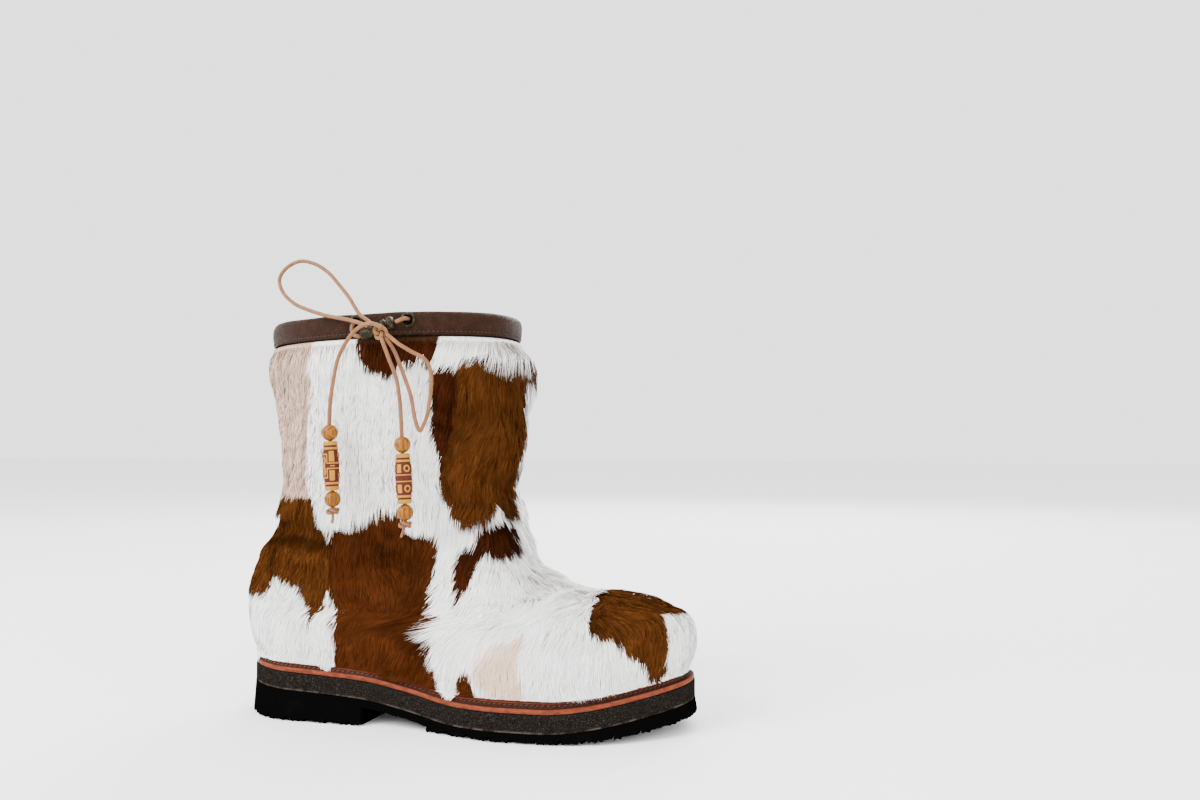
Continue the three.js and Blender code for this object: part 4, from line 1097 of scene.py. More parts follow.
# Sunk bands round a barrel bead, as shares of its length
GROOVES = [(0.085, 0.125), (0.17, 0.83), (0.875, 0.915)]
RAISED_RINGS = {"front": [(0.415, 0.44), (0.545, 0.57)], "back": []}


def smooth_step(value, edge, soft):
    return np.clip((value - edge) / soft + 0.5, 0, 1)


def band(value, low, high, soft):
    return smooth_step(value, low, soft) * smooth_step(-value, -high, soft)


def carving(end, angle, s):
    """How deep a barrel bead is carved, from 0 to 1. angle 0 faces the camera and s runs from the bead's top."""
    soft = 0.012
    sunk = sum(band(s, low, high, soft) for low, high in GROOVES)
    raised = sum((band(s, low, high, soft) for low, high in RAISED_RINGS[end]), np.zeros_like(s))
    length = BARREL_LENGTH * s
    girth = BARREL_DIAMETER / 2
    if end == "front":
        for repeat in range(3):
            for middle in (0.3, 0.7):
                eye = wrapped(angle - 0.62 - repeat * 2 * np.pi / 3) * girth
                away = np.hypot(eye, length - BARREL_LENGTH * middle)
                raised = raised + band(away, 1.2, 2.2, 0.35)
                plate = wrapped(angle + 0.35 - repeat * 2 * np.pi / 3) * girth
                high = band(length, BARREL_LENGTH * middle - 2.5, BARREL_LENGTH * middle + 2.5, 0.35)
                raised = raised + band(plate, -1.7, 1.5, 0.35) * high
    else:
        for repeat in range(2):
            across = wrapped(angle - 0.3 - repeat * np.pi) * girth
            for low, high in ((5.9, 12.3), (17.4, 23.6)):
                raised = raised + band(across, -1.5, 2.0, 0.35) * band(length, low, high, 0.35)
            side = wrapped(angle - 1.55 - repeat * np.pi) * girth
            for middle in (8.6, 20.6):
                raised = raised + band(np.hypot(side, length - middle), 0.9, 1.8, 0.35)
            for level in (13.1, 16.3):
                raised = raised + band(length, level - 0.35, level + 0.5, 0.3) * band(across, -2.6, 6.2, 0.35)
            raised = raised + band(length, 14.4, 15.2, 0.4) * band(across, -0.8, 2.2, 0.5)
            for low, high in ((7.6, 13.5), (16.0, 22.0)):
                raised = raised + band(across, -3.3, -2.5, 0.3) * band(length, low, high, 0.3)
            for level in (7.8, 21.8):
                raised = raised + band(across, -6.4, -2.5, 0.35) * band(length, level - 0.45, level + 0.45, 0.3)
            zigzag = -5.2 + 0.9 * np.abs(((length - 14.8) / 3.2 + 1) % 2 - 1)
            raised = raised + band(across - zigzag, -0.75, 0.75, 0.35) * band(length, 9.2, 20.4, 0.4)
    return np.clip(sunk - raised, 0, 1)


def wrapped(angle):
    return (angle + np.pi) % (2 * np.pi) - np.pi


def barrel_bead(name, start, axis, end, finish, around=132, rings=156):
    s = np.linspace(0, 1, rings)
    wide = np.interp(s, *zip(*BARREL_PROFILE)) * BARREL_DIAMETER / 2
    angle = np.arange(around) / around * 2 * np.pi
    flat_angle, flat_s = np.tile(angle, rings), np.repeat(s, around)
    sunk = carving(end, flat_angle, flat_s)
    radius = np.repeat(wide, around) - sunk * CARVING_DEPTH
    local = np.stack([radius * np.sin(flat_angle), flat_s * BARREL_LENGTH, radius * np.cos(flat_angle)], -1)
    place = axis_place(start, start + axis)
    local[:, 0] *= -1 if place(np.array([[1.0, 0, 0]]))[0] @ CAMERA_RIGHT < start @ CAMERA_RIGHT else 1
    flipped = local[:, 0][around // 4] < 0
    tips = np.array([[0, 0.5, 0], [0, BARREL_LENGTH - 0.5, 0]])
    hole = np.array([[math.sin(a) * 1.5, t, math.cos(a) * 1.5] for t in (0.0, BARREL_LENGTH) for a in angle])
    hole[:, 0] *= -1 if flipped else 1
    points = place(np.concatenate([local, hole, tips]))
    count = rings * around
    faces = [
        ring_faces(rings, around),
        fan_faces(count, around, count + 2 * around),
        fan_faces(count + around, around, count + 2 * around + 1, flip=True),
    ]
    i = np.arange(around)
    j = (i + 1) % around
    last = (rings - 1) * around
    faces.append(np.stack([count + i, count + j, j, i], -1))
    faces.append(np.stack([last + i, last + j, count + around + j, count + around + i], -1))
    if flipped:
        faces = [f[:, ::-1] for f in faces]
    made = piece(name, points, faces, finish)
    # The carving takes the bead's own groove colour; the bore's rings take part of it and its inner tips all of it, as
    # painted shade inside the hole
    paint(made, "sunk", np.concatenate([sunk, np.full(2 * around, 0.4), [1, 1]]))
    return made


# Collar band and stitches


def thread_places(name, points, along, out):
    """Loose points that hold where each stitch goes, which way it lies and which way is out."""
    mesh = bpy.data.meshes.new(name)
    mesh.vertices.add(len(points))
    places = (points - (HEEL_CENTRE, 0, 0)) * MM
    mesh.vertices.foreach_set("co", places.astype(np.float32).ravel())
    for key, values in (("along", along), ("out", out)):
        mesh.attributes.new(key, "FLOAT_VECTOR", "POINT").data.foreach_set("vector", values.astype(np.float32).ravel())
    made = bpy.data.objects.new(name, mesh)
    bpy.context.collection.objects.link(made)
    return made


def stitch_tree():
    """Geometry Nodes that lay one stitch on each point."""
    found = bpy.data.node_groups.get("stitches")
    if found:
        return found
    tree = bpy.data.node_groups.new("stitches", "GeometryNodeTree")
    inputs = (
        ("Places", "NodeSocketGeometry"), ("Stitch Length", "NodeSocketFloat"),
        ("Thread Width", "NodeSocketFloat"), ("Thread", "NodeSocketMaterial"),
    )
    for name, kind in inputs:
        tree.interface.new_socket(name, in_out="INPUT", socket_type=kind)
    tree.interface.new_socket("Stitches", in_out="OUTPUT", socket_type="NodeSocketGeometry")

    def node(kind, settings=None, links=None):
        made = tree.nodes.new(kind)
        for name, value in (settings or {}).items():
            setattr(made, name, value)
        for name, value in (links or {}).items():
            if isinstance(value, bpy.types.NodeSocket):
                tree.links.new(value, made.inputs[name])
            else:
                made.inputs[name].default_value = value
        return made

    given = node("NodeGroupInput")
    ball = node("GeometryNodeMeshUVSphere", None, {"Segments": 8, "Rings": 5, "Radius": 0.5})
    size = node("ShaderNodeCombineXYZ", None, {0: given.outputs[1], 1: given.outputs[2], 2: given.outputs[2]})
    stitch = node("GeometryNodeTransform", None, {"Geometry": ball.outputs["Mesh"], "Scale": size.outputs[0]})
    lie = node("GeometryNodeInputNamedAttribute", {"data_type": "FLOAT_VECTOR"}, {"Name": "along"})
    out = node("GeometryNodeInputNamedAttribute", {"data_type": "FLOAT_VECTOR"}, {"Name": "out"})
    first = node("FunctionNodeAlignRotationToVector", {"axis": "X"}, {"Vector": lie.outputs["Attribute"]})
    links = {"Rotation": first.outputs[0], "Vector": out.outputs["Attribute"]}
    second = node("FunctionNodeAlignRotationToVector", {"axis": "Z", "pivot_axis": "X"}, links)
    links = {"Points": given.outputs[0], "Instance": stitch.outputs[0], "Rotation": second.outputs[0]}
    laid = node("GeometryNodeInstanceOnPoints", None, links)
    real = node("GeometryNodeRealizeInstances", None, {"Geometry": laid.outputs[0]})
    soft = node("GeometryNodeSetShadeSmooth", None, {"Geometry": real.outputs[0]})
    done = node("GeometryNodeSetMaterial", None, {"Geometry": soft.outputs[0], "Material": given.outputs[3]})
    node("NodeGroupOutput", None, {0: done.outputs[0]})
    return tree


def stitches(name, points, along, out, length, width, thread):
    """One piece of a whole row of stitches."""
    made = thread_places(name, points, along, out)
    tree = stitch_tree()
    step = made.modifiers.new("stitches", "NODES")
    step.node_group = tree
    keys = {item.name: item.identifier for item in tree.interface.items_tree if item.in_out == "INPUT"}
    step[keys["Stitch Length"]] = length * MM
    step[keys["Thread Width"]] = width * MM
    step[keys["Thread"]] = thread
    return bake_down(made)


def even_turns(rule, pitch):
    """Turns at which points of a closed line lie one pitch apart."""
    turn = np.linspace(0, 1, 2401)
    length = np.append(0, np.cumsum(np.linalg.norm(np.diff(rule(turn), axis=0), axis=1)))
    return np.interp(np.arange(int(length[-1] / pitch)) * pitch, length, turn)


BAND_SECTION = [
    (0, 13.9), (0.05, 14.4), (1.2, 14.45), (1.75, 14.1), (2.05, 13.2), (1.8, 12.3), (1.95, 11.4), (2.35, 10.2),
    (2.55, 8.2), (2.6, 6.2), (2.5, 4.4), (2.25, 2.9), (1.7, 1.5), (0.75, 0.5), (-0.6, 0.02), (-2.1, 0), (-3.4, 0.45),
    (-4.3, 1.35), (-4.8, 2.6), (-4.9, 5.5), (-4.85, 9), (-4.9, 12), (-4.8, 13.8), (-4.2, 14.35), (-3.5, 14.3),
    (-3.35, 13.6), (-3.35, 1.7), (0.3, 1.7), (0.3, 13),
]


def sew_collar(colours, sizes):
    turn = np.arange(320) / 320
    rings = []
    for offset, drop in BAND_SECTION:
        base = collar_points(turn, 0, 0)
        outer = 1.0 if offset > 0.35 or drop < 1 else 0.0
        wave = outer * (0.22 * noise(base, 24, 5) + 0.14 * noise(base + (0, 0, drop * 3), 9, 6))
        sag = (0.45 * noise(base, 34, 7) + 0.2 * noise(base, 12, 8)) * (1 if drop < 3 else 0.6)
        rings.append(collar_points(turn, offset + wave, drop - sag * (0 if offset == 0.3 else 1)))
    made = piece("collar_binding", np.concatenate(rings), [ring_faces(len(rings), 320, closed=True)], band_finish(colours))
    pairs = [(EYELET_BARREL + GAP, GAP / 2), (EYELET_BARREL + GAP, BAND_FACE + BAND_BULGE + CLEAR)]
    for x in EYELETS.values():
        rings = lathe_points(pairs, 24, eyelet_place(x))
        ends = eyelet_place(x)(np.array([[0, pairs[0][1], 0], [0, pairs[1][1], 0]]))
        faces = [ring_faces(2, 24), fan_faces(0, 24, 48), fan_faces(24, 24, 49, flip=True)]
        cut(made, outwards(piece("hole", np.concatenate([rings, ends]), faces)), 60)
    settle(made, "band_leather", "collar_binding")

    def seam(turn):
        return collar_points(turn, 1.95, 12.35)

    turns = even_turns(seam, sizes.stitch_pitch / MM)
    points = seam(turns)
    along = unit(seam(turns + 0.001) - seam(turns - 0.001))
    out = unit(collar_points(turns, 3, 12.35) - points)
    thread = thread_finish("band_thread", tuple(colours.band_thread))
    row = stitches("band_stitches", points, along, out, sizes.stitch_length / MM, 0.55, thread)
    settle(row, "band_leather")


def outwards(made):
    """Turns every face of a closed piece outwards."""
    import bmesh

    work = bmesh.new()
    work.from_mesh(made.data)
    bmesh.ops.recalc_face_normals(work, faces=work.faces)
    work.to_mesh(made.data)
    work.free()
    return made


# Sole


def build_sole(colours, sizes):
    turn = np.arange(480) / 480
    made = slab("midsole", [
        (0.35, 0.0, "under"), (0.0, 0.35, "under"), (0.12, 0.9, "under"), (0.0, 1.5, "under"), (0.05, 4.0, "under"),
        (0.0, 7.0, "under"), (0.0, -0.9, "top"), (0.25, -0.3, "top"), (0.8, 0.0, "top"),
    ], turn, midsole_finish(colours))
    low = np.tile((np.arange(9) < 3).astype(float)[:, None], (1, 480)).ravel()
    paint(made, "edge", low)
    settle(made, "midsole", "midsole")
    build_outsole(colours)
    build_welt(colours, sizes)
    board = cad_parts["insole"]
    board.data.materials.clear()
    board.data.materials.append(board_finish(colours))


def slab(name, section, turn, finish):
    """Sheet between the rubber and the welt. Each row of the section is an inset, a height and its base."""
    rings = []
    for inset, up, base in section:
        p = inset_points(turn, np.full_like(turn, inset))
        p[:, 2] = (midsole_under if base == "under" else midsole_top)(p[:, 0]) + up
        rings.append(p)
    count = len(turn)
    faces = [ring_faces(len(rings), count), *strip_faces(0, count), *strip_faces((len(rings) - 1) * count, count, flip=True)]
    return piece(name, np.concatenate(rings), faces, finish, sharp=50)


RIPPLE_PITCH, RIPPLE_DEPTH = 3.7, 2.1


def build_outsole(colours):
    turn = np.arange(1080) / 1080
    walk = np.append(0, np.cumsum(np.linalg.norm(np.diff(edge_points(turn), axis=0), axis=1)))
    tooth = np.abs((walk / RIPPLE_PITCH) % 1 * 2 - 1) ** 0.7
    ragged = np.clip(noise(edge_points(turn), 2.3, 9), -0.6, 0.6)
    ripple = RIPPLE_DEPTH * np.clip(tooth + ragged * 0.5, 0, 1)
    rings = []
    for inset, rise, up in ((3.6, 0, 0.0), (-OUTSOLE_FLARE + 0.5, 1, 0.0), (-OUTSOLE_FLARE, 0.6, 0.5)):
        p = inset_points(turn, np.full_like(turn, inset))
        p[:, 2] = tread(p[:, 0] / SOLE_LENGTH) + ripple * rise + up
        rings.append(p)
    for inset, drop in ((-0.1, 0.7), (0.0, GAP), (0.5, GAP)):
        p = inset_points(turn, np.full_like(turn, inset))
        p[:, 2] = midsole_under(p[:, 0]) - drop
        rings.append(p)
    count = len(turn)
    faces = [ring_faces(len(rings), count), *strip_faces(0, count), *strip_faces((len(rings) - 1) * count, count, flip=True)]
    made = piece("outsole", np.concatenate(rings), faces, rubber_finish(colours))
    cut(made, lug_cutters(), 30)
    cut(made, waist_cutter(), 30)
    settle(made, "rubber", "outsole")


def lug_cutters():
    """Gaps between the lugs along both edges, and shorter ones between them down the middle."""
    boxes = []
    stretches = (
        (LUG_PITCH * FIRST_LUG, HEEL_BREAST * SOLE_LENGTH - LUG_PITCH / 2),
        (TREAD_START * SOLE_LENGTH + LUG_PITCH, TREAD_END * SOLE_LENGTH),
    )
    for start, end in stretches:
        for x in np.arange(start, end + 1e-6, LUG_PITCH):
            along = x / SOLE_LENGTH
            ends = round_end(along / HEEL_ROUND, HEEL_POWER) * round_end((1 - along) / TOE_ROUND, TOE_POWER)
            for lateral in (True, False):
                half = float(plan_half(along, lateral) * ends)
                reach = min(LUG_REACH, half * 0.55)
                width = reach + OUTSOLE_FLARE + CLEAR + LUG_PITCH
                middle = (half - reach + width / 2) * (-1 if lateral else 1)
                boxes.append(gap_box(x, float(plan["swing"](along)) * BALL_WIDTH + middle, width))
            if x + LUG_PITCH <= end:
                middle = x + LUG_PITCH / 2
                boxes.append(gap_box(middle, float(plan["swing"](middle / SOLE_LENGTH)) * BALL_WIDTH, MIDDLE_BAR))
    points = np.concatenate([p for p, _ in boxes])
    quads = np.concatenate([q + 8 * k for k, (_, q) in enumerate(boxes)])
    return piece("lug_gaps", points, [quads])


def gap_box(x, y, width):
    top = float(tread(x / SOLE_LENGTH)) + LUG_DEPTH
    return box_points((x - LUG_GAP / 2, y - width / 2, top - LUG_DEPTH - CLEAR), (x + LUG_GAP / 2, y + width / 2, top))


def waist_cutter(steps=24):
    """The recess under the waist, from the heel's breast to the start of the tread."""
    x = np.linspace(TREAD_START * SOLE_LENGTH, HEEL_BREAST * SOLE_LENGTH, steps)
    z = np.maximum(midsole_under(x) - WAIST_RUBBER, LUG_DEPTH * 0.5)
    outline = np.array([(x[-1], -CLEAR), (x[0], -CLEAR), *zip(x, z)])
    count = len(outline)
    near = np.insert(outline, 1, -BALL_WIDTH, axis=1)
    far = np.insert(outline, 1, BALL_WIDTH, axis=1)
    i = np.arange(count)
    j = (i + 1) % count
    faces = [np.stack([j, i, count + i, count + j], -1), i[None, :], (count + i[::-1])[None, :]]
    return outwards(piece("waist", np.concatenate([near, far]), faces))


def build_welt(colours, sizes):
    turn = np.arange(480) / 480
    shelf = shelf_at(turn)
    lip = np.maximum(shelf - GAP - LIP_WIDTH, WELT_SETBACK + GAP)
    flange = shelf + WALL + WELT_FLANGE
    top, high = WELT_THICKNESS, WELT_THICKNESS + LIP_HEIGHT
    one = np.ones_like(turn)
    worn = 0.12 * noise(edge_points(turn), 4, 11)
    # The third number of each row is its share of painted shade, full in the stitch channel and against the upper
    section = [
        (WELT_SETBACK * one + 0.2, 0.0, 0), (WELT_SETBACK * one - worn, 0.3, 0), (WELT_SETBACK * one - 0.1 - worn, 1.2, 0),
        (WELT_SETBACK * one - worn, 2.3, 0), (WELT_SETBACK * one + 0.35, top, 0.2),
        (np.maximum(lip * 0.55, WELT_SETBACK + 0.5), top - 0.35, 1),
        (np.maximum(lip - 0.2, WELT_SETBACK + 0.7), top - 0.1, 1), (lip + 0.05, top + 0.5, 1), (lip + 0.35, top + 1.5, 1),
        (lip + 0.3, high - 1.0, 0.8), (lip + 0.1, high - 0.65, 0), (lip + 0.25, high - 0.15, 0), (lip + 0.8, high, 0),
        (shelf - GAP - 0.3, high, 0), (shelf - GAP, high - 0.4, 0.3), (shelf - GAP, top + 0.2, 1),
        (flange, top, 0.5), (flange, 0.0, 0.5),
    ]
    rings = []
    for inset, up, _ in section:
        p = inset_points(turn, inset)
        p[:, 2] = midsole_top(p[:, 0]) + GAP + up
        rings.append(p)
    made = piece("welt", np.concatenate(rings), [ring_faces(len(rings), 480, closed=True)], welt_finish(colours), sharp=60)
    paint(made, "groove", np.repeat([row[2] for row in section], 480))
    settle(made, "welt_leather", "welt")

    def seam(turn):
        shelf = shelf_at(turn)
        p = inset_points(turn, np.maximum(shelf - GAP - LIP_WIDTH, WELT_SETBACK + GAP) + 0.12)
        p[:, 2] = midsole_top(p[:, 0]) + GAP + WELT_THICKNESS + 1.15
        return p

    turns = even_turns(seam, 3.3)
    points = seam(turns)
    along = unit(seam(turns + 0.001) - seam(turns - 0.001))
    out = np.stack([along[:, 1], -along[:, 0], 0 * along[:, 0]], -1)
    lean = unit(along + np.array([0, 0, 0.35]))
    thread = thread_finish("welt_thread", tuple(colours.welt_thread))
    settle(stitches("welt_stitches", points, lean, out, 2.6, 0.8, thread), "welt_leather")


# Hide: patches of colour as outlines in the photograph's frame, each painted over the ones before it
PATCHES = [
    ("beige", [(240, 335), (313, 335), (312, 360), (311, 400), (308, 440), (307, 470), (311, 500), (255, 508), (240, 500)]),
    ("dark", [
        (355, 330), (361, 357.7), (370, 371), (383.5, 376), (392.5, 378), (397, 373.6), (395, 366.8), (404, 360),
        (417.4, 357.7), (422, 351), (424, 357.7), (431, 364.5), (435.5, 353), (442, 330),
    ]),
    ("dark", [
        (430, 366), (453.7, 363.4), (456, 376), (455, 398.5), (451.4, 421), (447, 444), (442, 466), (440, 489),
        (437.8, 457), (430, 439), (430, 398.5),
    ]),
    ("golden", [
        (453.7, 363), (474, 351), (483, 348.7), (496.7, 354), (519, 351), (525, 342), (537, 344), (560, 335),
        (560, 384), (526, 376), (524, 398), (527, 443.7), (519, 466), (515, 498), (517, 521.6), (502.8, 521.6),
        (499.6, 509), (487, 524.7), (465, 529.5), (452, 522), (446, 510), (440, 489), (442, 466), (447, 444),
        (451.4, 421), (455, 398.5), (456, 376),
    ]),
    ("golden", [
        (235, 505), (278, 500), (310, 497), (322, 530), (333, 545), (331, 585), (324, 605), (313, 620), (306, 632),
        (304, 600), (300, 591), (286, 585), (278, 577), (272, 581), (265, 597), (248, 594), (232, 592),
    ]),
    ("brown", [
        (331, 533.5), (349, 525), (366, 522), (380, 515), (398.6, 516.7), (410, 528), (422, 535), (436, 539),
        (439, 550), (435, 574), (428, 595), (426.6, 616), (422, 630), (429, 656), (436, 679), (439, 693), (440, 705),
        (336, 705), (336.8, 676.6), (333, 640), (330, 585),
    ]),
    ("brown", [(457, 684), (467, 670), (472, 679), (477, 705), (457, 703)]),
    ("dark", [
        (458, 551), (454, 571), (454, 597), (452.5, 608), (462, 599.5), (471, 583), (476, 564), (481, 556), (499, 561),
        (517, 557), (521, 551), (516, 533), (503, 524), (491, 525.5), (475, 536), (471, 548.5),
    ]),
    ("peach", [
        (486, 652), (509, 644), (517, 636.5), (522, 643), (514, 666), (525, 699), (500, 700), (475, 684), (473, 668),
    ]),
    ("golden", [
        (589, 610), (595, 601), (610, 588), (640, 588), (672, 600), (700, 612), (692, 617), (664, 615), (664, 622), (668, 643), (666, 669), (660, 682),
        (649, 682), (640, 666), (618.5, 651), (597, 643), (588, 636),
    ]),
]
# The same on the side that the photograph hides: places as x from the origin and height, in millimetres
HIDDEN_PATCHES = [
    ("tan", [(-60, 188), (12, 184), (14, 245), (-60, 245)]),
    ("beige", [(-60, 120), (4, 126), (10, 186), (-60, 190)]),
    ("tan", [(12, 132), (22, 140), (27, 200), (28, 245), (12, 245)]),
    ("tan", [(74, 245), (66, 226), (58, 204), (66, 190), (80, 176), (86, 152), (96, 146), (104, 166), (108, 210), (110, 245)]),
    ("golden", [(150, 245), (118, 245), (119, 200), (116, 170), (122, 128), (160, 128)]),
    ("dark", [(-60, 118), (-20, 122), (20, 114), (60, 116), (96, 120), (100, 96), (82, 82), (76, 60), (80, 30), (-10, 40), (-18, 70), (-60, 84)]),
    ("brown", [(100, 122), (132, 112), (152, 92), (130, 88), (112, 100)]),
    ("tan", [(96, 26), (120, 24), (122, 36), (104, 40)]),
    ("golden", [(150, 78), (172, 84), (196, 72), (214, 60), (222, 44), (214, 30), (180, 34), (158, 46), (146, 62)]),
]


def inside(x, y, outline):
    found = np.zeros(x.shape, bool)
    for (x0, y0), (x1, y1) in zip(outline, outline[1:] + outline[:1]):
        if y0 != y1:
            crossed = ((y0 > y) != (y1 > y)) & (x < (x1 - x0) * (y - y0) / (y1 - y0) + x0)
            found ^= crossed
    return found


def patch_numbers(points, normals, jitter):
    """Number of the hair colour at each point, with uneven borders."""
    seen = facing(points, normals) > 0.0
    wander = np.stack([noise(points, 5, s) + 0.6 * noise(points, 2, s + 3) for s in (21, 31)], -1) * 1.7 + jitter
    px, py = photo_place(points)
    numbers = np.zeros(len(points), int)
    for name, outline in PATCHES:
        numbers[inside(px + wander[:, 0], py + wander[:, 1], outline) & seen] = HAIR_NAMES.index(name)
    x, z = points[:, 0] - HEEL_CENTRE + wander[:, 0] * 1.5, points[:, 2] + wander[:, 1] * 1.5
    for name, outline in HIDDEN_PATCHES:
        numbers[inside(x, z, outline) & ~seen] = HAIR_NAMES.index(name)
    return numbers


def stretch_hide(colours):
    """Skin under the hair, and the lining, as one closed wall."""
    around = 240
    turn = np.arange(around) / around
    rows = np.unique(np.concatenate([np.linspace(0, TOP_ROW, 140), OUTER["row"], OUTER["row"][1:] - ROW_EDGE]))
    rows = rows[(rows >= 0) & (rows <= TOP_ROW)]
    inner = np.linspace(TOP_ROW, 0, 80)
    flat_turn = np.tile(turn, len(rows))
    points, normals, _, _, off, _ = chart.at(flat_turn, np.repeat(rows, around))
    outer_points = points + normals * off
    lined, lined_normals, *_ = chart.at(np.tile(turn, len(inner)), np.repeat(inner, around))
    depth = WALL - 0.5 * np.clip(noise(lined, 5, 12), -0.6, 1)[:, None]
    lined = lined - lined_normals * depth
    faces = ring_faces(len(rows) + len(inner), around, closed=True)
    made = piece("hide", np.concatenate([outer_points, lined]), [faces], skin_finish())
    made.data.materials.append(lining_finish(colours))
    ring_of_face = np.arange(len(faces)) // around
    made.data.polygons.foreach_set("material_index", (ring_of_face >= len(rows) - 1).astype(np.int32))
    # The skin takes the colour of the hair over it, at a darker tone as painted shade deep in the pile
    palette = np.array([shade(hair_colour(colours, name), mix(dark, light, 0.3)) for name, dark, light in HAIRS])
    hide = palette[patch_numbers(outer_points, normals, 0)]
    # Painted shade: the hide under the collar band is painted a very dark band colour, for the gap below the band
    hide[np.repeat(rows, around) > PILE_TOP] = shade(colours.band, 0.3)
    paint(made, "hide", np.concatenate([hide, np.full((len(lined), 3), 0.5)]))
    settle(made, "fur_hide", "upper")


# Lie of the hair at places in the photograph's frame: lean in degrees from straight down towards the toe,
# length in millimetres and how far it lifts
COMB = columns(
    "px py lean length lift",
    (290, 380, -8, 9, 0.8), (290, 470, -6, 9, 0.8), (370, 430, 0, 7, 0.55), (400, 355, -5, 9, 0.7),
    (440, 420, -15, 11, 0.8), (490, 420, -42, 14, 1), (480, 345, -35, 14, 1), (526, 350, 62, 22, 4.2), (529, 370, 35, 18, 3.4), (522, 410, 12, 11, 1.8), (518, 490, -5, 12, 1.8),
    (520, 480, -38, 14, 1), (300, 515, -5, 9, 0.8), (290, 560, -25, 12, 1.1), (265, 590, -30, 13, 1.2),
    (275, 640, -3, 9, 0.7), (320, 650, 0, 9, 0.8), (380, 600, 0, 10, 0.7), (380, 540, 5, 10, 0.8),
    (440, 600, -40, 15, 1.1), (432, 660, -25, 15, 1), (470, 560, -25, 11, 0.9), (500, 600, -10, 13, 1),
    (505, 540, -20, 11, 0.9), (516, 526, 60, 17, 3.4), (560, 600, -8, 12, 0.9), (540, 650, -3, 12, 0.9), (625, 620, 35, 9, 0.7),
    (520, 680, -5, 10, 0.9), (580, 690, 0, 15, 1.3), (640, 690, 10, 12, 1), (690, 640, 0, 10, 1),
)


def combed():
    """Points, directions, lengths and lifts of the hair's lie, with the inner side's mirrored from them."""
    points = np.array([chart.shown_at(place)[0] for place in zip(COMB["px"], COMB["py"])])
    lean = np.radians(COMB["lean"])[:, None]
    way = np.sin(lean) * CAMERA_RIGHT - np.cos(lean) * CAMERA_UP
    flip = np.array([1, -1, 1])
    facts = np.stack([COMB["length"], COMB["lift"]], -1)
    return np.concatenate([points, points * flip]), np.concatenate([way, way * flip]), np.concatenate([facts, facts])


def lie_of_hair(points, comb):
    """Direction, length and lift at each point, from the strokes near it."""
    places, ways, facts = comb
    distance = ((points[:, None, :] - places[None]) ** 2).sum(-1)
    weight = 1 / (distance + 120) ** 2
    weight /= weight.sum(1, keepdims=True)
    return unit(weight @ ways), weight @ facts


FRINGES = [
    # lowest and highest row, share of density, hair length and lift
    (12.83, 13.35, 1.5, 17, 1.3),
    (18.2, 18.93, 1.2, 13, 1.1),
    (0.45, 1.5, 1.4, 7, 0.9),
]
LOW_ROW = 0.46
# Share of a hair's length at which it takes the colour of the patch that it shows in
SHOWN = 0.65


def sample_roots(rng, region, density):
    """Turns and rows of hair roots spread evenly over part of the hide."""
    turn, row = np.meshgrid((np.arange(chart.TURNS) + 0.5) / chart.TURNS, np.arange(chart.ROWS) * chart.step, indexing="ij")
    share = region(turn, row) * ((row > LOW_ROW) & (row < PILE_TOP - 0.05))
    for low, high, more, _, _ in FRINGES:
        share = share * np.where((row >= low) & (row <= high), more, 1)
    expected = np.cumsum((chart.cell_area * share * density).ravel())
    count = int(expected[-1])
    cell = np.searchsorted(expected, rng.random(count) * expected[-1])
    i, j = np.divmod(cell, chart.ROWS)
    return (i + rng.random(count)) / chart.TURNS, np.clip((j + rng.random(count) - 0.5) * chart.step, LOW_ROW, PILE_TOP)


def gather(tips, at, size, pull, seed):
    """Draws hair tips together in locks of about that size."""
    warped = at + np.stack([noise(at, size * 1.3, seed + k) for k in range(3)], -1) * size * 0.45
    cell = np.floor(warped / size).astype(np.int64)
    key = cell @ np.array([1, 4096, 16777216])
    _, lock = np.unique(key, return_inverse=True)
    count = np.bincount(lock)
    middle = np.stack([np.bincount(lock, tips[:, k]) / count for k in range(3)], -1)
    return tips + (middle[lock] - tips) * pull


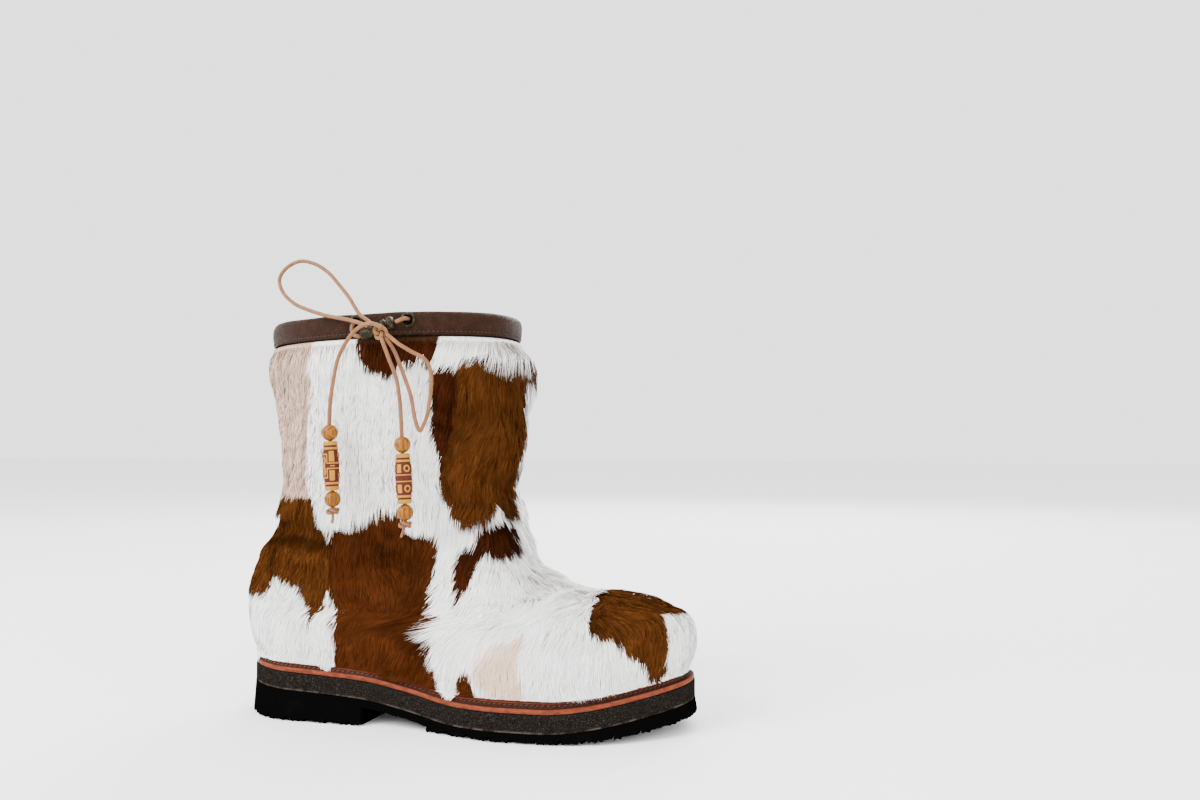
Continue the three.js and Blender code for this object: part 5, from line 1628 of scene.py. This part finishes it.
def grow(name, region, density, width, colours_finish, seed):
    """Hair over one part of the hide, each hair a bent blade of three triangles."""
    rng = np.random.default_rng(seed)
    turn, row = sample_roots(rng, region, density)
    base, normals, around, up, off, crease_shade = chart.at(turn, row)
    skin = base + normals * off
    way, facts = lie_of_hair(skin, combed())
    length, lift = facts[:, 0].copy(), facts[:, 1].copy()
    for low, high, _, long, raised in FRINGES:
        near = np.clip(1 - np.abs(row - (low + high) / 2) / (high - low), 0, 1)
        length += (np.maximum(long, length) - length) * near
        lift += (np.maximum(raised, lift) - lift) * near
    count = len(turn)
    length *= 1 + 0.22 * rng.uniform(-1, 1, count) + 0.15 * noise(skin, 9, 41)
    flat = unit(way - normals * dot(way, normals))
    swing = 0.24 * noise(skin, 16, 42) + 0.2 * noise(skin, 5, 43) + 0.12 * rng.normal(size=count)
    flat = flat * np.cos(swing)[:, None] + np.cross(normals, flat) * np.sin(swing)[:, None]
    a, b, c = (dot(*pair)[:, 0] for pair in ((around, around), (around, up), (up, up)))
    p, q = dot(flat, around)[:, 0], dot(flat, up)[:, 0]
    det = np.maximum(a * c - b * b, 1e-3)
    turn_step = np.clip((p * c - q * b) / det * length, -0.08, 0.08)
    row_step = np.clip((q * a - p * b) / det * length, -3.2, 3.2)
    stand = pile(row) * (1 - UNDERFUR) * lift * (0.9 + 0.35 * noise(skin, 7, 44) + rng.uniform(-0.35, 0.3, count))
    hem = ((row >= HEM_ROW) & (row < HEM_ROW + 0.8)).astype(float) * 1.6
    low = np.clip((2.2 - row) / 1.5, 0, 1) * 0.8

    tuft = np.clip((noise(skin * (1, 1, 0.2), 11, 47) - 0.3) * 4, 0, 1)
    droop = np.where(row < SEAT_ROWS, 0.06 + 0.85 * tuft, 1)

    def along(share, height):
        at_row = row + row_step * share
        held = np.clip(at_row, LOW_ROW, PILE_TOP - 0.05)
        point, normal, _, rise, lower, _ = chart.at(turn + turn_step * share, held)
        hang = ((at_row - held) * droop)[:, None] * rise
        return point + normal * (lower + height[:, None]) + hang, normal

    middle, middle_normals = along(0.5, stand * 0.82 + hem * 0.6 + low * 0.6)
    tips, tip_normals = along(1.0, stand + hem + low)
    roots = skin - normals * 0.35
    for size, pull, number in ((8, 0.3, 50), (2.6, 0.36, 60)):
        tips = gather(tips, skin, size, pull, number)
        middle = gather(middle, skin, size, pull * 0.4, number)
    forward = unit(tips - roots)
    roll = rng.uniform(-0.6, 0.6, count)[:, None]
    across = unit(np.cross(forward, normals)) * np.cos(roll) + normals * np.sin(roll)
    wide = (width * rng.uniform(0.75, 1.2, count))[:, None]
    corners = np.stack([
        roots - across * wide / 2, roots + across * wide / 2,
        middle - across * wide * 0.42, middle + across * wide * 0.42, tips,
    ], 1)
    first = np.arange(count)[:, None] * 5
    faces = np.concatenate([first + [0, 1, 3], first + [0, 3, 2], first + [2, 3, 4]], 1).reshape(-1, 3)
    made = piece(name, corners, [faces], colours_finish)
    jitter = rng.normal(0, 1.1, (count, 2))
    shown = SHOWN * np.clip((PILE_TOP - row) / 0.9, 0.1, 1)[:, None]
    colour = patch_numbers(mix(skin, tips, shown), normals, jitter)
    tone = 0.5 + 0.2 * noise(skin, 6, 45) + 0.16 * noise(skin, 22, 46) + 0.17 * rng.normal(size=count)
    # Painted shade: the hair is darker over creases and seams, and a painted shadow darkens the foot's hair just under
    # the hem
    tone -= 0.22 * crease_shade + 0.4 * np.exp(-(((row - HEM_ROW + 0.25) / 0.3) ** 2)) * (row < HEM_ROW)
    draw_hair_map(made, colour, np.clip(tone, 0.06, 0.94))
    soft = np.stack([normals, normals, middle_normals, middle_normals, tip_normals], 1)
    side = np.array([-1, 1, -1, 1, 0])[None, :, None] * across[:, None] * 0.5
    wild = rng.normal(0, 0.2, (count, 1, 3))
    made.data.normals_split_custom_set_from_vertices(unit(soft + side + wild).reshape(-1, 3))
    return settle(made, "fur_hide")


def draw_hair_map(made, colour, tone):
    """Lays every hair in its colour's column of the map, root at the bottom and tip at the top."""
    # Each hair's tone, including the painted shade of creases and the hem, sets where it lies in its colour's column
    u = (colour + 0.03 + 0.94 * tone) / len(HAIRS)
    half = 0.02 / len(HAIRS)
    places = np.stack([
        np.stack([u - half, u + half, u - half, u + half, u], 1),
        np.broadcast_to([0.02, 0.02, 0.5, 0.5, 0.98], (len(u), 5)),
    ], -1)
    corner = np.array([0, 1, 3, 0, 3, 2, 2, 3, 4])
    layer = made.data.uv_layers.new(name="OFBake")
    layer.uv.foreach_set("vector", places[:, corner].astype(np.float32).ravel())


def grow_fur(colours, sizes):
    finish = hair_finish(colours)
    per_mm = sizes.hairs_per_cm2 / 100
    width = sizes.hair_width / MM
    regions = [
        ("hair_shaft_outer", lambda t, r: (t < 0.5) & (r >= HEM_ROW), 1.0, 1.0),
        ("hair_foot_outer", lambda t, r: (t < 0.5) & (r < HEM_ROW), 1.0, 1.0),
        ("hair_shaft_inner", lambda t, r: (t >= 0.5) & (r >= HEM_ROW), 0.68, 1.3),
        ("hair_foot_inner", lambda t, r: (t >= 0.5) & (r < HEM_ROW), 0.68, 1.3),
    ]
    for number, (name, region, dense, wide) in enumerate(regions):
        made = grow(name, region, per_mm * dense, width * wide, finish, 70 + number)
        print(name, len(made.data.polygons))


# Stage


def build_stage(sizes):
    size = 8.0
    mesh = bpy.data.meshes.new("floor")
    mesh.from_pydata([(-size, -size, 0), (size, -size, 0), (size, size, 0), (-size, size, 0)], [], [(0, 1, 2, 3)])
    floor = bpy.data.objects.new("floor", mesh)
    f = Finish("pale_floor")
    mesh.materials.append(f.surface((0.93, 0.93, 0.93), 0.7, Specular_IOR_Level=0.2))
    bpy.context.collection.objects.link(floor)
    for name, place, power, wide in LIGHTS:
        lamp = bpy.data.lights.new(name, "AREA")
        lamp.energy, lamp.size, lamp.shape = power, wide, "SQUARE"
        made = bpy.data.objects.new(name, lamp)
        made.location = place
        made.rotation_euler = (Vector((0.1, 0, 0.12)) - Vector(place)).to_track_quat("-Z", "Y").to_euler()
        bpy.context.collection.objects.link(made)
    world = bpy.data.worlds.new("studio")
    world.use_nodes = True
    sky = world.node_tree.nodes["Background"]
    sky.inputs["Color"].default_value = (1, 1, 1, 1)
    sky.inputs["Strength"].default_value = sizes.sky
    bpy.context.scene.world = world
    camera = bpy.data.cameras.new("camera")
    camera.sensor_width = 36
    camera.lens = FOCAL / FRAME_WIDTH * camera.sensor_width
    camera.clip_start, camera.clip_end = 0.02, 50
    made = bpy.data.objects.new("camera", camera)
    turn = Matrix((CAMERA_RIGHT, CAMERA_UP, CAMERA_BACK)).transposed().to_4x4()
    made.matrix_world = Matrix.Translation((CAMERA_AT - (HEEL_CENTRE, 0, 0)) * MM) @ turn
    bpy.context.collection.objects.link(made)
    bpy.context.scene.camera = made


LIGHTS = [
    ("key", (-1.2, -1.4, 1.5), 115, 1.3),
    ("fill", (1.6, -1.2, 0.9), 35, 1.6),
    ("rim", (0.2, 1.8, 1.4), 54, 1.4),
]


# Settings, operators and panel


def colour(name, description, code):
    return FloatVectorProperty(
        name=name, description=description, subtype="COLOR", size=3, min=0, max=1, default=linear(code)
    )


class MuklukSizes(bpy.types.PropertyGroup):
    hairs_per_cm2: FloatProperty(name="Hairs", description="Hairs on each square centimetre", default=190, min=10)
    hair_width: FloatProperty(
        name="Hair width", description="Width of a lock of hairs at its root", default=0.00048, unit="LENGTH"
    )
    stitch_pitch: FloatProperty(
        name="Stitch pitch", description="From one stitch of the band to the next", default=0.0028, unit="LENGTH"
    )
    stitch_length: FloatProperty(
        name="Stitch length", description="Visible length of a stitch of the band", default=0.0019, unit="LENGTH"
    )
    sky: FloatProperty(name="Sky", description="Brightness of the studio's surroundings", default=2.36, min=0)


class MuklukColours(bpy.types.PropertyGroup):
    hair_white: colour("White hair", "White patches", "f4f2f0")
    hair_beige: colour("Beige hair", "Beige patch at the shaft's back", "bc9f8e")
    hair_golden: colour("Golden hair", "Golden brown patches", "41240e")
    hair_dark: colour("Dark hair", "Darkest brown patches", "2d1408")
    hair_brown: colour("Brown hair", "Brown quarter", "391c0b")
    hair_peach: colour("Peach hair", "Pale patch over the ball of the foot", "e0c5ad")
    hair_tan: colour("Tan hair", "Tan patches of the inner side", "795742")
    lining: colour("Lining", "Fleece inside the boot", "b4a894")
    band: colour("Band", "Leather of the collar band", "2b1a12")
    band_thread: colour("Band thread", "Stitches along the band", "140e0a")
    cord: colour("Cord", "Draw cord, bow and knots", "734d31")
    brass: colour("Brass", "Bare metal of the lock and eyelets", "413926")
    bead: colour("Round beads", "Turned round beads", "79480a")
    carved_bead: colour("Carved beads", "Raised parts of the barrel beads", "9c6c1c")
    bead_groove: colour("Bead grooves", "Sunk parts of the barrel beads", "421207")
    welt: colour("Welt", "Waxed leather of the welt", "67311f")
    # Painted shade of the welt's stitch channel and of its faces against the upper
    welt_channel_shade: colour("Welt groove", "Channel that holds the welt's stitches", "331a12")
    welt_thread: colour("Welt thread", "Stitches round the welt", "36180e")
    midsole: colour("Midsole", "Ground of the midsole", "171412")
    midsole_speck: colour("Midsole specks", "Light specks of the midsole", "413a35")
    rubber: colour("Rubber", "Rubber of the outsole", "040404")
    board: colour("Insole", "Board of the insole", "826c50")


class MUKLUK_OT_tie_cord(bpy.types.Operator):
    """Draws the cord through the eyelets and ties it in a bow"""

    bl_idname = "mukluk.tie_cord"
    bl_label = "Cord and bow"

    def execute(self, context):
        tie_cord(context.scene.mukluk_colours)
        return {"FINISHED"}


class MUKLUK_OT_string_beads(bpy.types.Operator):
    """Strings the round and carved beads on the cord's two ends"""

    bl_idname = "mukluk.string_beads"
    bl_label = "Beads"

    def execute(self, context):
        string_beads(context.scene.mukluk_colours)
        return {"FINISHED"}


class MUKLUK_OT_set_hardware(bpy.types.Operator):
    """Sets the cord lock and the two eyelets"""

    bl_idname = "mukluk.set_hardware"
    bl_label = "Lock and eyelets"

    def execute(self, context):
        set_hardware(context.scene.mukluk_colours)
        return {"FINISHED"}


class MUKLUK_OT_sew_collar(bpy.types.Operator):
    """Folds the leather band over the collar and stitches it"""

    bl_idname = "mukluk.sew_collar"
    bl_label = "Collar band"

    def execute(self, context):
        sew_collar(context.scene.mukluk_colours, context.scene.mukluk_sizes)
        return {"FINISHED"}


class MUKLUK_OT_stretch_hide(bpy.types.Operator):
    """Makes the skin with its creases and patches, and the lining"""

    bl_idname = "mukluk.stretch_hide"
    bl_label = "Hide and lining"

    def execute(self, context):
        stretch_hide(context.scene.mukluk_colours)
        return {"FINISHED"}


class MUKLUK_OT_grow_fur(bpy.types.Operator):
    """Grows the hair on the hide"""

    bl_idname = "mukluk.grow_fur"
    bl_label = "Fur"

    def execute(self, context):
        grow_fur(context.scene.mukluk_colours, context.scene.mukluk_sizes)
        return {"FINISHED"}


class MUKLUK_OT_build_sole(bpy.types.Operator):
    """Builds the outsole, midsole, welt and insole"""

    bl_idname = "mukluk.build_sole"
    bl_label = "Sole and welt"

    def execute(self, context):
        build_sole(context.scene.mukluk_colours, context.scene.mukluk_sizes)
        return {"FINISHED"}


class MUKLUK_OT_build_stage(bpy.types.Operator):
    """Sets the floor, the lights and the camera"""

    bl_idname = "mukluk.build_stage"
    bl_label = "Stage"

    def execute(self, context):
        build_stage(context.scene.mukluk_sizes)
        return {"FINISHED"}


OPERATORS = (
    MUKLUK_OT_build_stage,
    MUKLUK_OT_tie_cord,
    MUKLUK_OT_string_beads,
    MUKLUK_OT_set_hardware,
    MUKLUK_OT_sew_collar,
    MUKLUK_OT_build_sole,
    MUKLUK_OT_stretch_hide,
    MUKLUK_OT_grow_fur,
)


class MUKLUK_PT_panel(bpy.types.Panel):
    bl_idname = "MUKLUK_PT_panel"
    bl_label = "Mukluk boot"
    bl_space_type = "VIEW_3D"
    bl_region_type = "UI"
    bl_category = "Mukluk"

    def draw(self, context):
        for group in (context.scene.mukluk_sizes, context.scene.mukluk_colours):
            for name in group.__annotations__:
                self.layout.prop(group, name)
        for operator in OPERATORS:
            self.layout.operator(operator.bl_idname)


CLASSES = (MuklukSizes, MuklukColours, *OPERATORS, MUKLUK_PT_panel)


def register():
    for item in CLASSES:
        bpy.utils.register_class(item)
    bpy.types.Scene.mukluk_sizes = PointerProperty(type=MuklukSizes)
    bpy.types.Scene.mukluk_colours = PointerProperty(type=MuklukColours)


def unregister():
    del bpy.types.Scene.mukluk_colours
    del bpy.types.Scene.mukluk_sizes
    for item in reversed(CLASSES):
        bpy.utils.unregister_class(item)


def main():
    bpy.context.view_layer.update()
    register()
    for operator in OPERATORS:
        group, name = operator.bl_idname.split(".")
        getattr(getattr(bpy.ops, group), name)()


if __name__ == "__main__":
    main()
